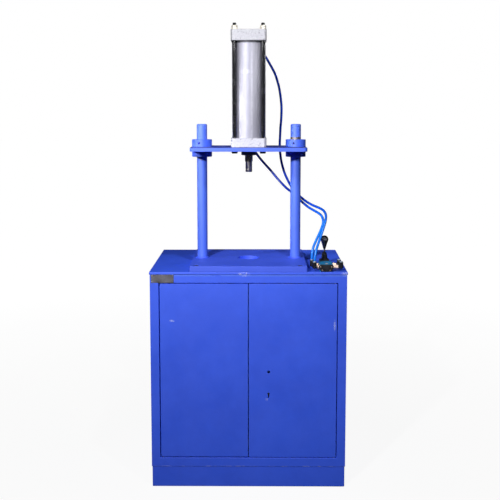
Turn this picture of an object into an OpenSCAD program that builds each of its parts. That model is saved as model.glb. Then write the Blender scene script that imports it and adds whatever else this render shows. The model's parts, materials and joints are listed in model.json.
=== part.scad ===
// Pneumatic bench press: an air cylinder on a two-column frame, bolted to a sheet-steel cabinet.
// Millimetres. +Z is up, the doors face -Y and the hand valve stands at +X.
// The origin is the centre of the cabinet's footprint, on the floor.

/* [Cabinet] */
// Width of the cabinet top
cabinet_w = 610; // [510:5:740]
// Depth of the cabinet top
cabinet_d = 457; // [400:1:560]
// Height of the cabinet, floor to top
cabinet_h = 684; // [560:2:830]
// Thickness of the sheet steel
sheet_t = 2; // [1.5:0.25:3]
// Depth of the rim folded down round the cabinet top
top_rim_h = 8; // [6:1:16]
// Width of the flanges folded along the panel edges
flange_w = 20; // [14:1:26]
// Height of the plinth
plinth_h = 66; // [40:1:120]
// How far the plinth stands back from the cabinet body
plinth_inset = 1.5; // [0:0.5:12]

/* [Doors] */
// Width of the front frame beside the doors
stile_w = 27; // [24:1:50]
// Height of the front frame above the doors, from the cabinet top
header_h = 34; // [30:1:60]
// Height of the front frame below the doors, from the plinth
bottom_rail_h = 28; // [22:1:60]
// Gap round the doors and between them
door_gap = 2.5; // [2:0.25:4]
// Depth of the folded door edges
door_depth = 20; // [16:1:30]
// Distance of the pivot pin from the door's hinge edge
pivot_inset = 6; // [6:0.5:9]
// Distance of the pivot pin behind the door's face
pivot_setback = 5; // [5:0.5:8]
// Diameter of the pivot pins
pivot_d = 5; // [4:0.5:6]
// Diameter of the handle spindle's hole
handle_hole_d = 8.5; // [6:0.5:12]
// Height of the handle hole above the floor
handle_hole_z = 370; // [300:5:480]
// Distance of handle hole and keyhole from the right door's free edge
backset = 61.5; // [40:0.5:90]
// Height of the keyhole's round end above the floor
keyhole_z = 300; // [200:5:340]

/* [Base plate] */
// Width of the base plate
base_w = 360; // [340:2:480]
// Depth of the base plate
base_d = 350; // [300:2:400]
// Thickness of the base plate
base_t = 18; // [16:1:30]
// Diameter of the hole in the middle of the base plate
bolster_hole_d = 70; // [40:1:90]
// Distance of the base bolts from the plate's edges
base_bolt_inset = 20; // [16:1:30]

/* [Columns] */
// Diameter of the columns
column_d = 33; // [28:0.5:42]
// Distance between the column centres
column_pitch = 300; // [260:2:320]
// Height of the columns above the base plate
column_h = 431; // [400:1:560]
// Outside diameter of the collars
collar_d = 64; // [56:1:80]
// Height of the clamp collars on the bridge plate
clamp_collar_h = 23; // [18:1:36]
// Height of the guide collars under the bridge plate
guide_collar_h = 20; // [14:1:36]
// Diameter of the collar screws
collar_screw_d = 6.5; // [5:0.5:8]

/* [Bridge plate] */
// Clear height between the base plate and the bridge plate
daylight = 347; // [330:1:370]
// Width of the bridge plate
bridge_w = 366; // [340:2:440]
// Depth of the bridge plate
bridge_d = 200; // [150:2:220]
// Thickness of the bridge plate
bridge_t = 12; // [8:1:20]
// Radius of the bridge plate's corners
bridge_corner_r = 10; // [2:1:30]

/* [Cylinder] */
// Bore of the air cylinder
bore_d = 100; // [90:1:104]
// Stroke of the air cylinder
stroke = 250; // [150:5:300]
// Wall of the barrel
barrel_wall = 3.5; // [2.5:0.25:4]
// Width of the square end caps
cap_w = 112; // [108:1:126]
// Radius of the end caps' corners
cap_corner_r = 9; // [3:1:14]
// Height of the top cap
top_cap_h = 34.5; // [30:0.5:50]
// Height of the bottom cap
bottom_cap_h = 28; // [26:0.5:50]
// Distance between the tie rods
tie_rod_pitch = 89; // [88:0.5:92]
// Diameter of the tie rods
tie_rod_d = 11.5; // [8:0.5:12]
// Height of the piston
piston_h = 34; // [28:1:50]
// Diameter of the piston rod
rod_d = 25; // [20:1:28]
// Diameter of the rod's threaded end
rod_thread_d = 22; // [16:0.5:24]
// Length of the rod's threaded end
rod_thread_l = 34; // [20:1:50]
// Length of full-size rod that shows below the boss
rod_show = 20; // [10:1:30]
// Diameter of the boss round the rod
boss_d = 48; // [46:1:60]
// How far the boss reaches below the bridge plate
boss_drop = 15; // [8:1:24]

/* [Hand valve] */
// Sideways place of the valve
valve_x = 239; // [225:1:260]
// Distance of the valve's front from the cabinet's front edge
valve_setback = 8.5; // [6:0.5:40]
// Width of the valve body
valve_w = 40; // [36:1:50]
// Length of the valve body
valve_l = 64; // [56:1:90]
// Height of the valve body
valve_h = 22; // [20:1:34]
// Diameter of the lever
lever_d = 5; // [4:0.5:6]
// Tilt of the lever each way
lever_tilt = 15; // [8:1:18]
// Diameter of the lever's knob
knob_d = 24.6; // [20:0.5:32]
// Height of the lever's knob
knob_h = 42; // [34:1:52]
// Outside diameter of the air tubes
tube_d = 8; // [6:0.5:8]

/* [Hidden] */
$fn = 64;

// Clearances
eps = 0.01;             // past a face, so that a cut goes right through it
running_gap = 0.05;     // radial, between a shaft and the bore it turns or slides in
easy_gap = 0.3;         // between neighbours that never touch

// Cabinet
body_w = cabinet_w - 2 * sheet_t;
body_d = cabinet_d - 2 * sheet_t;
body_top = cabinet_h - sheet_t;
face_y = -body_d / 2;
plinth_w = body_w - 2 * plinth_inset;
plinth_d = body_d - 2 * plinth_inset;
inside_w = body_w - 2 * sheet_t;
inner_front_y = face_y + sheet_t;
inner_back_y = body_d / 2 - sheet_t;
floor_z = plinth_h + 2 * sheet_t;

// Doors
opening_w = body_w - 2 * stile_w;
opening_bottom = plinth_h + bottom_rail_h;
opening_top = cabinet_h - header_h;
door_w = (opening_w - 3 * door_gap) / 2;
door_bottom = opening_bottom + door_gap;
door_top = opening_top - door_gap;
door_h = door_top - door_bottom;
door_centre_x = (door_w + door_gap) / 2;
door_back_y = face_y + door_depth;
return_d = door_depth + easy_gap;          // depth of the frame's return round the opening
stop_w = 12;                               // the lip that the doors close against
stop_inset = 36;                           // the lip stops short of the pivots by this much
pivot_x = opening_w / 2 - door_gap - pivot_inset;
pivot_y = face_y + pivot_setback;
pin_grip = 4;                              // pin past the sheet at both ends

// Lock
lock_w = 70;
lock_h = 56;
lock_t = 14;
lock_wall = 1.5;
bolt_h = 16;
bolt_t = 6;
bolt_l = 48;
bolt_throw = 12;
free_edge_x = door_gap / 2;                // the right door's edge at the middle gap
lock_front_y = face_y + sheet_t;
lock_x = free_edge_x + sheet_t;            // the case lies against the folded edge
lock_mid_z = keyhole_z - 6;
bolt_mid_y = lock_front_y + lock_t / 2;
key_x = free_edge_x + backset;
keyhole_d = 8;
key_slot_w = 3.6;
key_slot_l = 13;

// Nameplate
nameplate_w = 70;
nameplate_t = 0.8;
nameplate_gap = 0.4;                       // below the rim of the cabinet top
nameplate_inset = 4;
rivet_d = 3;
rivet_inset = 3.5;
nameplate_top = cabinet_h - top_rim_h - nameplate_gap;
nameplate_bottom = opening_top + nameplate_gap;
nameplate_h = nameplate_top - nameplate_bottom;

// Base plate and bolts
press_y = (base_d - cabinet_d) / 2;        // the press axis; the plate is flush at the front
base_top = cabinet_h + base_t;
base_bolt_d = 12;
bolt_head_d = 18;
bolt_head_h = 12;
counterbore_d = 20;
counterbore_h = 13;
base_bolt_x = base_w / 2 - base_bolt_inset;
base_bolt_dy = base_d / 2 - base_bolt_inset;
bolt_seat_z = base_top - counterbore_h;
bearer_w = 50;
bearer_h = 26;
bearer_t = 4;
base_washer_d = 24;
base_washer_t = 2.5;
base_nut_af = 19;
base_nut_h = 10;
base_washer_z = body_top - bearer_t - base_washer_t;
base_nut_z = base_washer_z - base_nut_h;

// Columns, collars and bridge
column_x = column_pitch / 2;
column_top = base_top + column_h;
column_chamfer = 2.5;
weld_w = 4.5;
bridge_bottom = base_top + daylight;
bridge_top = bridge_bottom + bridge_t;
slide_bore_d = column_d + 2 * running_gap;
collar_chamfer = 1;
collar_screw_l = 10;
collar_screw_tip = column_d / 2 + easy_gap;
collar_screw_turn = -14;                   // seen from above, from the front towards the left
collar_socket_d = 3;
collar_socket_h = 4;

// Cylinder
spigot_h = 8;
end_clear = 2;
barrel_bottom = bridge_top + bottom_cap_h;
barrel_l = stroke + piston_h + 2 * (spigot_h + end_clear);
barrel_top = barrel_bottom + barrel_l;
barrel_d = bore_d + 2 * barrel_wall;
cylinder_top = barrel_top + top_cap_h;
boss_bottom = bridge_bottom - boss_drop;
port_d = 13;
upper_port_z = barrel_top + top_cap_h / 2;
lower_port_z = bridge_top + bottom_cap_h / 2;
chamber_d = 40;                            // the recess that joins each port to the bore
chamber_margin = 4;                        // metal left past the port
rod_thread_bottom = boss_bottom - rod_show - rod_thread_l;
piston_top = barrel_top - spigot_h - end_clear;
piston_bottom = piston_top - piston_h;
piston_nut_af = 27;
piston_nut_h = 12;
rod_spigot_d = 18;
seal_w = 6;
seal_depth = 7;
bush_wall = 4;
rod_seal_h = 6;
rod_seal_wall = 5;
lip_h = 2;                                 // metal left under the rod seal
lower_chamber_z = lower_port_z - port_d / 2 - chamber_margin;
tie_nut_af = 17;
tie_nut_h = 12;
tie_end = 8;                               // rod end that shows above its nut
tie_grip = 12;                             // thread in the bottom cap
mount_bolt_d = 10;
mount_head_af = 17;
mount_head_h = 6.4;
mount_washer_d = 20;
mount_washer_t = 1.6;
mount_grip = 12;
cap_seal_w = 3;
cap_seal_depth = 2.5;

// Push-in fittings
fitting_thread_l = 8;
fitting_hex_af = 17;
fitting_hex_h = 8;
fitting_body_d = 15;
fitting_arm_d = 13;
collet_d = 10.6;
collet_h = 2.5;
collet_bore_d = tube_d + 0.6;
elbow_reach = 17;                          // along X and down, from the port axis to the tube
upper_elbow_y = 20;
lower_fitting_end_y = 27;
cap_back_y = press_y + cap_w / 2;

// Hand valve
valve_front_y = -cabinet_d / 2 + valve_setback;
end_plate_t = 6;
end_plate_w = 45;
body_front_y = valve_front_y + end_plate_t;
body_back_y = body_front_y + valve_l;
housing_l = 34;
housing_w = 30;
housing_h = valve_h + 3;
housing_top = cabinet_h + housing_h;
cavity_w = 12;
cavity_l = 20;
cavity_floor = 4;
lever_y = body_back_y + housing_l / 2;
spool_z = cabinet_h + 10;
lever_arm = 11;                            // from the pivot down to the spool's axis
pivot_z = spool_z + lever_arm;
spool_d = 10;
spool_neck_d = 6;
spool_front_y = body_front_y + 7;
spool_back_y = lever_y + 6;
spool_slot = 5.8;
lever_ball_d = 5.2;
lever_tip_d = 2.4;                         // thin enough to tilt in the spool's slot
lever_hub_d = 9;
lever_hub_w = 9;
lever_pin_d = 4;
lever_pin_l = housing_w - 4;
boot_h = 23;
boot_base_d = 24;
boot_neck_d = 9;
boot_wall = 1.5;
boot_flange_h = 2.5;
knob_z = housing_top + boot_h + 11;
lever_in_knob = 15;
port_z = cabinet_h + 12;
front_port_y = body_front_y + 11;
rear_port_y = body_front_y + 51;
port_thread_d = 9;
port_depth = 8;
nipple_af = 13;
elbow_stub_l = 9;
elbow_stub_d = 11;
elbow_arm_d = 13;
elbow_mouth_rise = 15.5;                   // top of the elbow above the port's axis
elbow_bore_depth = 12;
valve_screw_d = 4;
valve_screw_head_d = 7;
valve_screw_head_h = 4;
valve_screw_x = 13;
valve_screw_l = 26;
end_screw_head_d = 4.6;
end_screw_head_h = 1.2;
end_screw_d = 3;
end_screw_l = 10;
// Side (-1 left, 1 right), place along Y and reach from the body's side to the elbow's centre
valve_ports = [[-1, front_port_y, 15], [-1, rear_port_y, 21],
    [1, front_port_y, 27], [1, rear_port_y, 24]];

// Routes of the two air tubes, from the cylinder to the valve
upper_tube_route = [
    [17, 20, 1393], [26, 20, 1384], [40, 22, 1368], [52, 26, 1352], [64, 31, 1333],
    [75, 36, 1314], [85, 41, 1295], [92, 46, 1275], [98, 50, 1254], [102, 53, 1233],
    [105, 56, 1211], [107, 58, 1188], [107, 59, 1165], [106, 60, 1142], [104, 60, 1119],
    [103, 60, 1096], [102, 60, 1073], [102, 59, 1051], [104, 56, 1029], [107, 51, 1008],
    [112, 45, 988], [118, 37, 969], [126, 28, 951], [135, 18, 934], [146, 7, 918],
    [159, -7, 904], [173, -22, 892], [187, -38, 882], [201, -56, 875], [215, -74, 870],
    [228, -93, 866], [238, -111, 860], [243, -129, 849], [241, -145, 833],
    [235, -158, 815], [227, -171, 795], [219, -183, 774], [211, -194, 753],
    [206, -201, 733], [204, -203.5, 714]];
lower_tube_route = [
    [0, 27, 1075], [0, 37, 1075], [2, 48, 1072], [6, 58, 1065], [11, 65, 1055],
    [18, 69, 1043], [27, 69, 1029], [38, 66, 1015], [51, 61, 1000], [65, 57, 985],
    [79, 52, 969], [93, 47, 952], [107, 41, 937], [121, 32, 923], [135, 20, 912],
    [150, 5, 900], [165, -12, 887], [179, -30, 875], [193, -49, 865], [207, -68, 858],
    [220, -86, 852], [230, -102, 845], [235, -115, 834], [234, -125, 820],
    [228, -133, 804], [220, -140, 787], [211, -147, 769], [203, -155, 751],
    [199, -161, 732], [198, -163.5, 714]];
tube_sides = 10;

// ---------------------------------------------------------------- shared shapes

// A box centred in X and Y, standing on z
module block(size, z = 0) {
    translate([-size[0] / 2, -size[1] / 2, z]) cube(size);
}

// A box between two corners
module span(low, high) {
    translate(low) cube(high - low);
}

// A plate with round corners, centred in X and Y
module round_plate(w, d, h, r) {
    linear_extrude(h) union() {
        square([w - 2 * r, d], center = true);
        square([w, d - 2 * r], center = true);
        for (x = [-1, 1], y = [-1, 1]) translate([x * (w / 2 - r), y * (d / 2 - r)]) circle(r);
    }
}

// A ring standing on z = 0
module ring(outer_d, inner_d, h) {
    difference() {
        cylinder(d = outer_d, h = h);
        translate([0, 0, -eps]) cylinder(d = inner_d, h = h + 2 * eps);
    }
}

// A hexagon across its flats, standing on z = 0
module hexagon(af, h) {
    cylinder(d = af / cos(30), h = h, $fn = 6);
}

// Places a shape at both columns
module at_columns() {
    for (s = [-1, 1]) translate([s * column_x, press_y, 0]) children();
}

// Places a shape at the four tie rods
module at_tie_rods() {
    for (x = [-1, 1], y = [-1, 1])
        translate([x * tie_rod_pitch / 2, press_y + y * tie_rod_pitch / 2, 0]) children();
}

// Places a shape at the four base bolts
module at_base_bolts() {
    for (x = [-1, 1], y = [-1, 1])
        translate([x * base_bolt_x, press_y + y * base_bolt_dy, 0]) children();
}

// Turns a shape that stands on z = 0 to point along X, on side s
module along_x(s = 1) {
    rotate([0, s * 90, 0]) children();
}

// Turns a shape that stands on z = 0 to point along +Y
module along_y() {
    rotate([-90, 0, 0]) children();
}

function unit(v) = v / norm(v);

// Direction of a route at point i: the mean of the stretches on either side
function heading(route, i) =
    let (last = len(route) - 1)
    i == 0 ? unit(route[1] - route[0]) :
    i == last ? unit(route[last] - route[last - 1]) :
    unit(unit(route[i] - route[i - 1]) + unit(route[i + 1] - route[i]));

// Side direction at point i, carried along from the start so that the tube never twists
function carried_side(route, i) =
    i == 0 ? unit(cross(heading(route, 0), [0, 1, 0.2])) :
    let (before = carried_side(route, i - 1), along = heading(route, i))
    unit(before - (before * along) * along);

// Points of the ring at point i
function ring_points(route, r, i) =
    let (along = heading(route, i), side = carried_side(route, i), up = cross(along, side))
    [for (k = [0 : tube_sides - 1])
        route[i] + r * (cos(360 * k / tube_sides) * side + sin(360 * k / tube_sides) * up)];

// A tube of diameter d along a route, closed at both ends
module tube(route, d) {
    rings = len(route);
    corners = [for (i = [0 : rings - 1]) each ring_points(route, d / 2, i)];
    sides = [for (i = [0 : rings - 2], k = [0 : tube_sides - 1])
        let (next = (k + 1) % tube_sides, a = i * tube_sides, b = (i + 1) * tube_sides)
        [a + k, b + k, b + next, a + next]];
    start_cap = [for (k = [0 : tube_sides - 1]) k];
    end_cap = [for (k = [tube_sides - 1 : -1 : 0]) (rings - 1) * tube_sides + k];
    polyhedron(points = corners, faces = concat([start_cap], sides, [end_cap]));
}

// ---------------------------------------------------------------- cabinet

// A skirt folded to a channel, open inwards
module plinth() {
    color([0.13, 0.25, 0.72]) difference() {
        block([plinth_w, plinth_d, plinth_h]);
        block([plinth_w - 2 * sheet_t, plinth_d - 2 * sheet_t, plinth_h - 2 * sheet_t], sheet_t);
        block([plinth_w - 2 * flange_w, plinth_d - 2 * flange_w, plinth_h + 2 * eps], -eps);
    }
}

// The sheet that closes the cabinet below, lying on the side panels' flanges
module floor_panel() {
    color([0.13, 0.25, 0.72])
        span([-inside_w / 2, inner_front_y + sheet_t, plinth_h + sheet_t],
            [inside_w / 2, inner_back_y - sheet_t, floor_z]);
}

// A side panel with its four folded flanges; s is -1 on the left and 1 on the right
module side_panel(s) {
    back_y = body_d / 2;
    translate([s * body_w / 2, 0, 0]) mirror([s > 0 ? 1 : 0, 0, 0]) {
        span([0, inner_front_y, plinth_h], [sheet_t, back_y, body_top]);
        span([0, inner_front_y, plinth_h], [flange_w, inner_front_y + sheet_t, body_top]);
        span([0, back_y - sheet_t, plinth_h], [flange_w, back_y, body_top]);
        span([0, inner_front_y, plinth_h], [flange_w, back_y, plinth_h + sheet_t]);
        span([0, inner_front_y, body_top - sheet_t], [flange_w, back_y, body_top]);
    }
}

module left_side_panel() {
    color([0.13, 0.25, 0.72]) side_panel(-1);
}

module right_side_panel() {
    color([0.13, 0.25, 0.72]) side_panel(1);
}

// The back sheet, spot-welded inside the side panels' flanges
module back_panel() {
    top_z = body_top - sheet_t;
    color([0.13, 0.25, 0.72]) {
        span([-inside_w / 2, inner_back_y - sheet_t, plinth_h + sheet_t],
            [inside_w / 2, inner_back_y, top_z]);
        span([-body_w / 2 + flange_w, inner_back_y - flange_w, top_z],
            [body_w / 2 - flange_w, inner_back_y, body_top]);
    }
}

// Stiles, header and bottom rail in one sheet, with a return round the opening and door stops
module front_frame() {
    color([0.13, 0.25, 0.72]) {
        difference() {
            union() {
                span([-body_w / 2, face_y, plinth_h], [body_w / 2, inner_front_y, body_top]);
                span([-opening_w / 2 - sheet_t, face_y, opening_bottom - sheet_t],
                    [opening_w / 2 + sheet_t, face_y + return_d, opening_top + sheet_t]);
                span([-body_w / 2 + flange_w, inner_front_y, body_top - sheet_t],
                    [body_w / 2 - flange_w, inner_front_y + flange_w, body_top]);
            }
            span([-opening_w / 2, face_y - eps, opening_bottom],
                [opening_w / 2, face_y + return_d + eps, opening_top]);
            at_base_bolts() translate([0, 0, body_top - 2 * sheet_t])
                cylinder(d = base_bolt_d + 1, h = 3 * sheet_t);
            for (s = [-1, 1]) translate([s * pivot_x, pivot_y, 0]) {
                translate([0, 0, opening_bottom - sheet_t - eps])
                    cylinder(d = pivot_d, h = sheet_t + 2 * eps);
                translate([0, 0, opening_top - eps]) cylinder(d = pivot_d, h = sheet_t + 2 * eps);
            }
        }
        for (z = [opening_bottom - sheet_t, opening_top - stop_w])
            span([-opening_w / 2 + stop_inset, face_y + return_d, z],
                [opening_w / 2 - stop_inset, face_y + return_d + sheet_t, z + stop_w + sheet_t]);
    }
}

// The top sheet with its rim, which laps over the body
module cabinet_top() {
    color([0.13, 0.25, 0.72]) difference() {
        block([cabinet_w, cabinet_d, top_rim_h], cabinet_h - top_rim_h);
        block([body_w, body_d, top_rim_h], body_top - top_rim_h);
        at_base_bolts() translate([0, 0, body_top - eps])
            cylinder(d = base_bolt_d + 1, h = sheet_t + 2 * eps);
        for (s = [-1, 1])
            translate([valve_x + s * valve_screw_x, (body_front_y + body_back_y) / 2, body_top - eps])
                cylinder(d = valve_screw_d, h = sheet_t + 2 * eps);
    }
}

// A channel under the top that carries the base plate; its ends fit under the top flanges
module bearer(s) {
    length = inner_back_y - inner_front_y - sheet_t;
    translate([s * base_bolt_x, inner_front_y, body_top - bearer_h]) difference() {
        translate([-bearer_w / 2, 0, 0]) cube([bearer_w, length, bearer_h]);
        translate([-bearer_w / 2 + bearer_t, -eps, -eps])
            cube([bearer_w - 2 * bearer_t, length + 2 * eps, bearer_h - bearer_t + eps]);
        for (y = [-eps, length - flange_w + sheet_t])
            translate([-bearer_w / 2 - eps, y, bearer_h - sheet_t])
                cube([bearer_w + 2 * eps, flange_w + eps, sheet_t + eps]);
        for (y = [-1, 1])
            translate([0, press_y + y * base_bolt_dy - inner_front_y, bearer_h - bearer_t - eps])
                cylinder(d = base_bolt_d + 1, h = bearer_t + 2 * eps);
    }
}

module left_bearer() {
    color([0.13, 0.25, 0.72]) bearer(-1);
}

module right_bearer() {
    color([0.13, 0.25, 0.72]) bearer(1);
}

// A door pan with folded edges and its two pivot holes; s is -1 on the left and 1 on the right
module door_pan(s) {
    difference() {
        span([-door_w / 2, face_y, door_bottom], [door_w / 2, door_back_y, door_top]);
        span([-door_w / 2 + sheet_t, inner_front_y, door_bottom + sheet_t],
            [door_w / 2 - sheet_t, door_back_y + eps, door_top - sheet_t]);
        translate([s * (door_w / 2 - pivot_inset), pivot_y, door_bottom - eps])
            cylinder(d = pivot_d + 2 * running_gap, h = door_h + 2 * eps);
    }
}

module left_door() {
    slot_gap = 2 * easy_gap;
    color([0.13, 0.25, 0.72]) difference() {
        translate([-door_centre_x, 0, 0]) door_pan(-1);
        span([-free_edge_x - 2 * sheet_t, bolt_mid_y - bolt_t / 2 - slot_gap,
            lock_mid_z - bolt_h / 2 - slot_gap],
            [0, bolt_mid_y + bolt_t / 2 + slot_gap, lock_mid_z + bolt_h / 2 + slot_gap]);
    }
}

// The keyhole: a round head with a slot below it
module keyhole(depth) {
    translate([key_x, face_y - eps, keyhole_z]) along_y() {
        cylinder(d = keyhole_d, h = depth);
        translate([-key_slot_w / 2, 0, 0]) cube([key_slot_w, key_slot_l, depth]);
    }
}

module right_door() {
    color([0.13, 0.25, 0.72]) difference() {
        translate([door_centre_x, 0, 0]) door_pan(1);
        translate([key_x, face_y - eps, handle_hole_z]) along_y()
            cylinder(d = handle_hole_d, h = sheet_t + 2 * eps);
        keyhole(sheet_t + 2 * eps);
        span([0, bolt_mid_y - bolt_t / 2 - easy_gap, lock_mid_z - bolt_h / 2 - easy_gap],
            [free_edge_x + 2 * sheet_t, bolt_mid_y + bolt_t / 2 + easy_gap,
            lock_mid_z + bolt_h / 2 + easy_gap]);
    }
}

// Four pins, pressed into the frame's returns, on which the doors turn
module door_pivot_pins() {
    length = 2 * sheet_t + door_gap + 2 * pin_grip;
    color([0.6, 0.6, 0.62])
        for (s = [-1, 1], z = [opening_bottom - sheet_t - pin_grip, door_top - sheet_t - pin_grip])
            translate([s * pivot_x, pivot_y, z]) cylinder(d = pivot_d, h = length);
}

// The rim lock's case, fixed behind the right door
module lock_case() {
    gap = easy_gap;
    color([0.55, 0.55, 0.57]) difference() {
        span([lock_x, lock_front_y, lock_mid_z - lock_h / 2],
            [lock_x + lock_w, lock_front_y + lock_t, lock_mid_z + lock_h / 2]);
        span([lock_x + lock_wall, lock_front_y + lock_wall, lock_mid_z - lock_h / 2 + lock_wall],
            [lock_x + lock_w - lock_wall, lock_front_y + lock_t - lock_wall,
            lock_mid_z + lock_h / 2 - lock_wall]);
        span([lock_x - eps, bolt_mid_y - bolt_t / 2 - gap, lock_mid_z - bolt_h / 2 - gap],
            [lock_x + 2 * lock_wall, bolt_mid_y + bolt_t / 2 + gap,
            lock_mid_z + bolt_h / 2 + gap]);
        keyhole(2 * sheet_t + lock_wall);
    }
}

// The sliding bolt, drawn back, with the notch that the key turns in
module lock_bolt() {
    notch_w = 8;
    notch_h = 5;
    color([0.72, 0.62, 0.35]) difference() {
        span([lock_x, bolt_mid_y - bolt_t / 2, lock_mid_z - bolt_h / 2],
            [lock_x + bolt_l, bolt_mid_y + bolt_t / 2, lock_mid_z + bolt_h / 2]);
        span([lock_x + bolt_l - 2 * notch_w, bolt_mid_y - bolt_t, lock_mid_z - bolt_h / 2 - eps],
            [lock_x + bolt_l - notch_w, bolt_mid_y + bolt_t, lock_mid_z - bolt_h / 2 + notch_h]);
    }
}

// A bare metal plate at the top left of the front
module nameplate() {
    left_x = -body_w / 2 + nameplate_inset;
    color([0.55, 0.56, 0.6]) difference() {
        span([left_x, face_y - nameplate_t, nameplate_bottom],
            [left_x + nameplate_w, face_y, nameplate_top]);
        at_nameplate_rivets() along_y() translate([0, 0, -nameplate_t - eps])
            cylinder(d = rivet_d, h = nameplate_t + 2 * eps);
    }
}

// Places a shape at the nameplate's four corners, on the cabinet's face
module at_nameplate_rivets() {
    mid_x = -body_w / 2 + nameplate_inset + nameplate_w / 2;
    mid_z = (nameplate_top + nameplate_bottom) / 2;
    for (x = [-1, 1], z = [-1, 1])
        translate([mid_x + x * (nameplate_w / 2 - rivet_inset), face_y,
            mid_z + z * (nameplate_h / 2 - rivet_inset)]) children();
}

// Small drive rivets with low round heads
module nameplate_rivets() {
    head_h = 0.5;
    color([0.7, 0.7, 0.72]) at_nameplate_rivets() along_y() {
        translate([0, 0, -nameplate_t]) cylinder(d = rivet_d, h = nameplate_t);
        translate([0, 0, -nameplate_t - head_h])
            cylinder(d1 = rivet_d, d2 = rivet_d + 1, h = head_h);
    }
}

// ---------------------------------------------------------------- base plate and columns

// The thick plate that the work stands on, with its counterbored holes and chamfers for the welds
module base_plate() {
    color([0.16, 0.28, 0.78]) translate([0, press_y, cabinet_h]) difference() {
        block([base_w, base_d, base_t]);
        translate([0, 0, -eps]) cylinder(d = bolster_hole_d, h = base_t + 2 * eps);
        for (s = [-1, 1]) translate([s * column_x, 0, 0]) {
            translate([0, 0, -eps]) cylinder(d = column_d, h = base_t + 2 * eps);
            translate([0, 0, base_t - weld_w])
                cylinder(d1 = column_d, d2 = column_d + 2 * weld_w + 2 * eps, h = weld_w + eps);
        }
        for (x = [-1, 1], y = [-1, 1]) translate([x * base_bolt_x, y * base_bolt_dy, 0]) {
            translate([0, 0, -eps]) cylinder(d = base_bolt_d + 1, h = base_t);
            translate([0, 0, base_t - counterbore_h])
                cylinder(d = counterbore_d, h = counterbore_h + eps);
        }
    }
}

// Socket-head bolts, sunk in the base plate
module base_bolts() {
    socket_d = 10;
    socket_h = 6;
    shank_l = bolt_seat_z - base_nut_z + 1;
    color([0.12, 0.12, 0.13]) at_base_bolts() translate([0, 0, bolt_seat_z]) difference() {
        union() {
            cylinder(d = bolt_head_d, h = bolt_head_h);
            translate([0, 0, -shank_l]) cylinder(d = base_bolt_d, h = shank_l);
        }
        translate([0, 0, bolt_head_h - socket_h]) hexagon(socket_d, socket_h + eps);
    }
}

module base_washers() {
    color([0.6, 0.6, 0.62]) at_base_bolts() translate([0, 0, base_washer_z])
        ring(base_washer_d, base_bolt_d + 1, base_washer_t);
}

module base_nuts() {
    color([0.6, 0.6, 0.62]) at_base_bolts() translate([0, 0, base_nut_z]) difference() {
        hexagon(base_nut_af, base_nut_h);
        translate([0, 0, -eps]) cylinder(d = base_bolt_d, h = base_nut_h + 2 * eps);
    }
}

// A solid round column with a chamfered top, let into the base plate
module column() {
    straight = column_top - cabinet_h - column_chamfer;
    translate([0, 0, cabinet_h]) {
        cylinder(d = column_d, h = straight);
        translate([0, 0, straight])
            cylinder(d1 = column_d, d2 = column_d - 2 * column_chamfer, h = column_chamfer);
    }
}

module left_column() {
    color([0.22, 0.36, 0.95]) translate([-column_x, press_y, 0]) column();
}

module right_column() {
    color([0.22, 0.36, 0.95]) translate([column_x, press_y, 0]) column();
}

// A weld round the foot of each column, which fills the base plate's chamfer and stands proud
module column_welds() {
    r = column_d / 2;
    color([0.16, 0.28, 0.78]) at_columns() translate([0, 0, base_top])
        rotate_extrude() polygon([[r, -weld_w], [r + weld_w, 0],
            [r + 0.6 * weld_w, 0.6 * weld_w], [r, weld_w]]);
}

// ---------------------------------------------------------------- bridge

// The plate that carries the cylinder, bored for columns, boss and mounting bolts
module bridge_plate() {
    color([0.16, 0.28, 0.78]) difference() {
        translate([0, press_y, bridge_bottom])
            round_plate(bridge_w, bridge_d, bridge_t, bridge_corner_r);
        at_columns() translate([0, 0, bridge_bottom - eps])
            cylinder(d = slide_bore_d, h = bridge_t + 2 * eps);
        translate([0, press_y, bridge_bottom - eps])
            cylinder(d = boss_d + 2 * easy_gap, h = bridge_t + 2 * eps);
        at_tie_rods() translate([0, 0, bridge_bottom - eps])
            cylinder(d = mount_bolt_d + 1, h = bridge_t + 2 * eps);
    }
}

// A collar bored to slide on a column, chamfered at its free end
module collar(h, chamfer_up) {
    difference() {
        rotate([chamfer_up ? 0 : 180, 0, 0]) {
            cylinder(d = collar_d, h = h - collar_chamfer);
            translate([0, 0, h - collar_chamfer])
                cylinder(d1 = collar_d, d2 = collar_d - 2 * collar_chamfer, h = collar_chamfer);
        }
        translate([0, 0, -h - eps]) cylinder(d = slide_bore_d, h = 2 * h + 2 * eps);
    }
}

// Points a shape that stands on z = 0 out of a collar, along its screw
module along_collar_screw() {
    rotate([0, 0, collar_screw_turn]) rotate([90, 0, 0]) children();
}

// A collar above the bridge plate, clamped by one grub screw
module clamp_collar() {
    translate([0, press_y, bridge_top]) difference() {
        collar(clamp_collar_h, true);
        translate([0, 0, clamp_collar_h / 2]) along_collar_screw()
            cylinder(d = collar_screw_d, h = collar_d);
    }
}

module left_clamp_collar() {
    color([0.2, 0.34, 0.9]) translate([-column_x, 0, 0]) clamp_collar();
}

module right_clamp_collar() {
    color([0.2, 0.34, 0.9]) translate([column_x, 0, 0]) clamp_collar();
}

// A plain collar welded under the bridge plate
module guide_collar() {
    translate([0, press_y, bridge_bottom]) collar(guide_collar_h, false);
}

module left_guide_collar() {
    color([0.2, 0.34, 0.9]) translate([-column_x, 0, 0]) guide_collar();
}

module right_guide_collar() {
    color([0.2, 0.34, 0.9]) translate([column_x, 0, 0]) guide_collar();
}

// Grub screws with a hexagon socket, deep in the clamp collars
module collar_screws() {
    color([0.12, 0.12, 0.13]) at_columns() translate([0, 0, bridge_top + clamp_collar_h / 2])
        along_collar_screw() translate([0, 0, collar_screw_tip]) difference() {
            cylinder(d = collar_screw_d, h = collar_screw_l);
            translate([0, 0, collar_screw_l - collar_socket_h])
                hexagon(collar_socket_d, collar_socket_h + eps);
        }
}

// ---------------------------------------------------------------- cylinder

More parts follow.
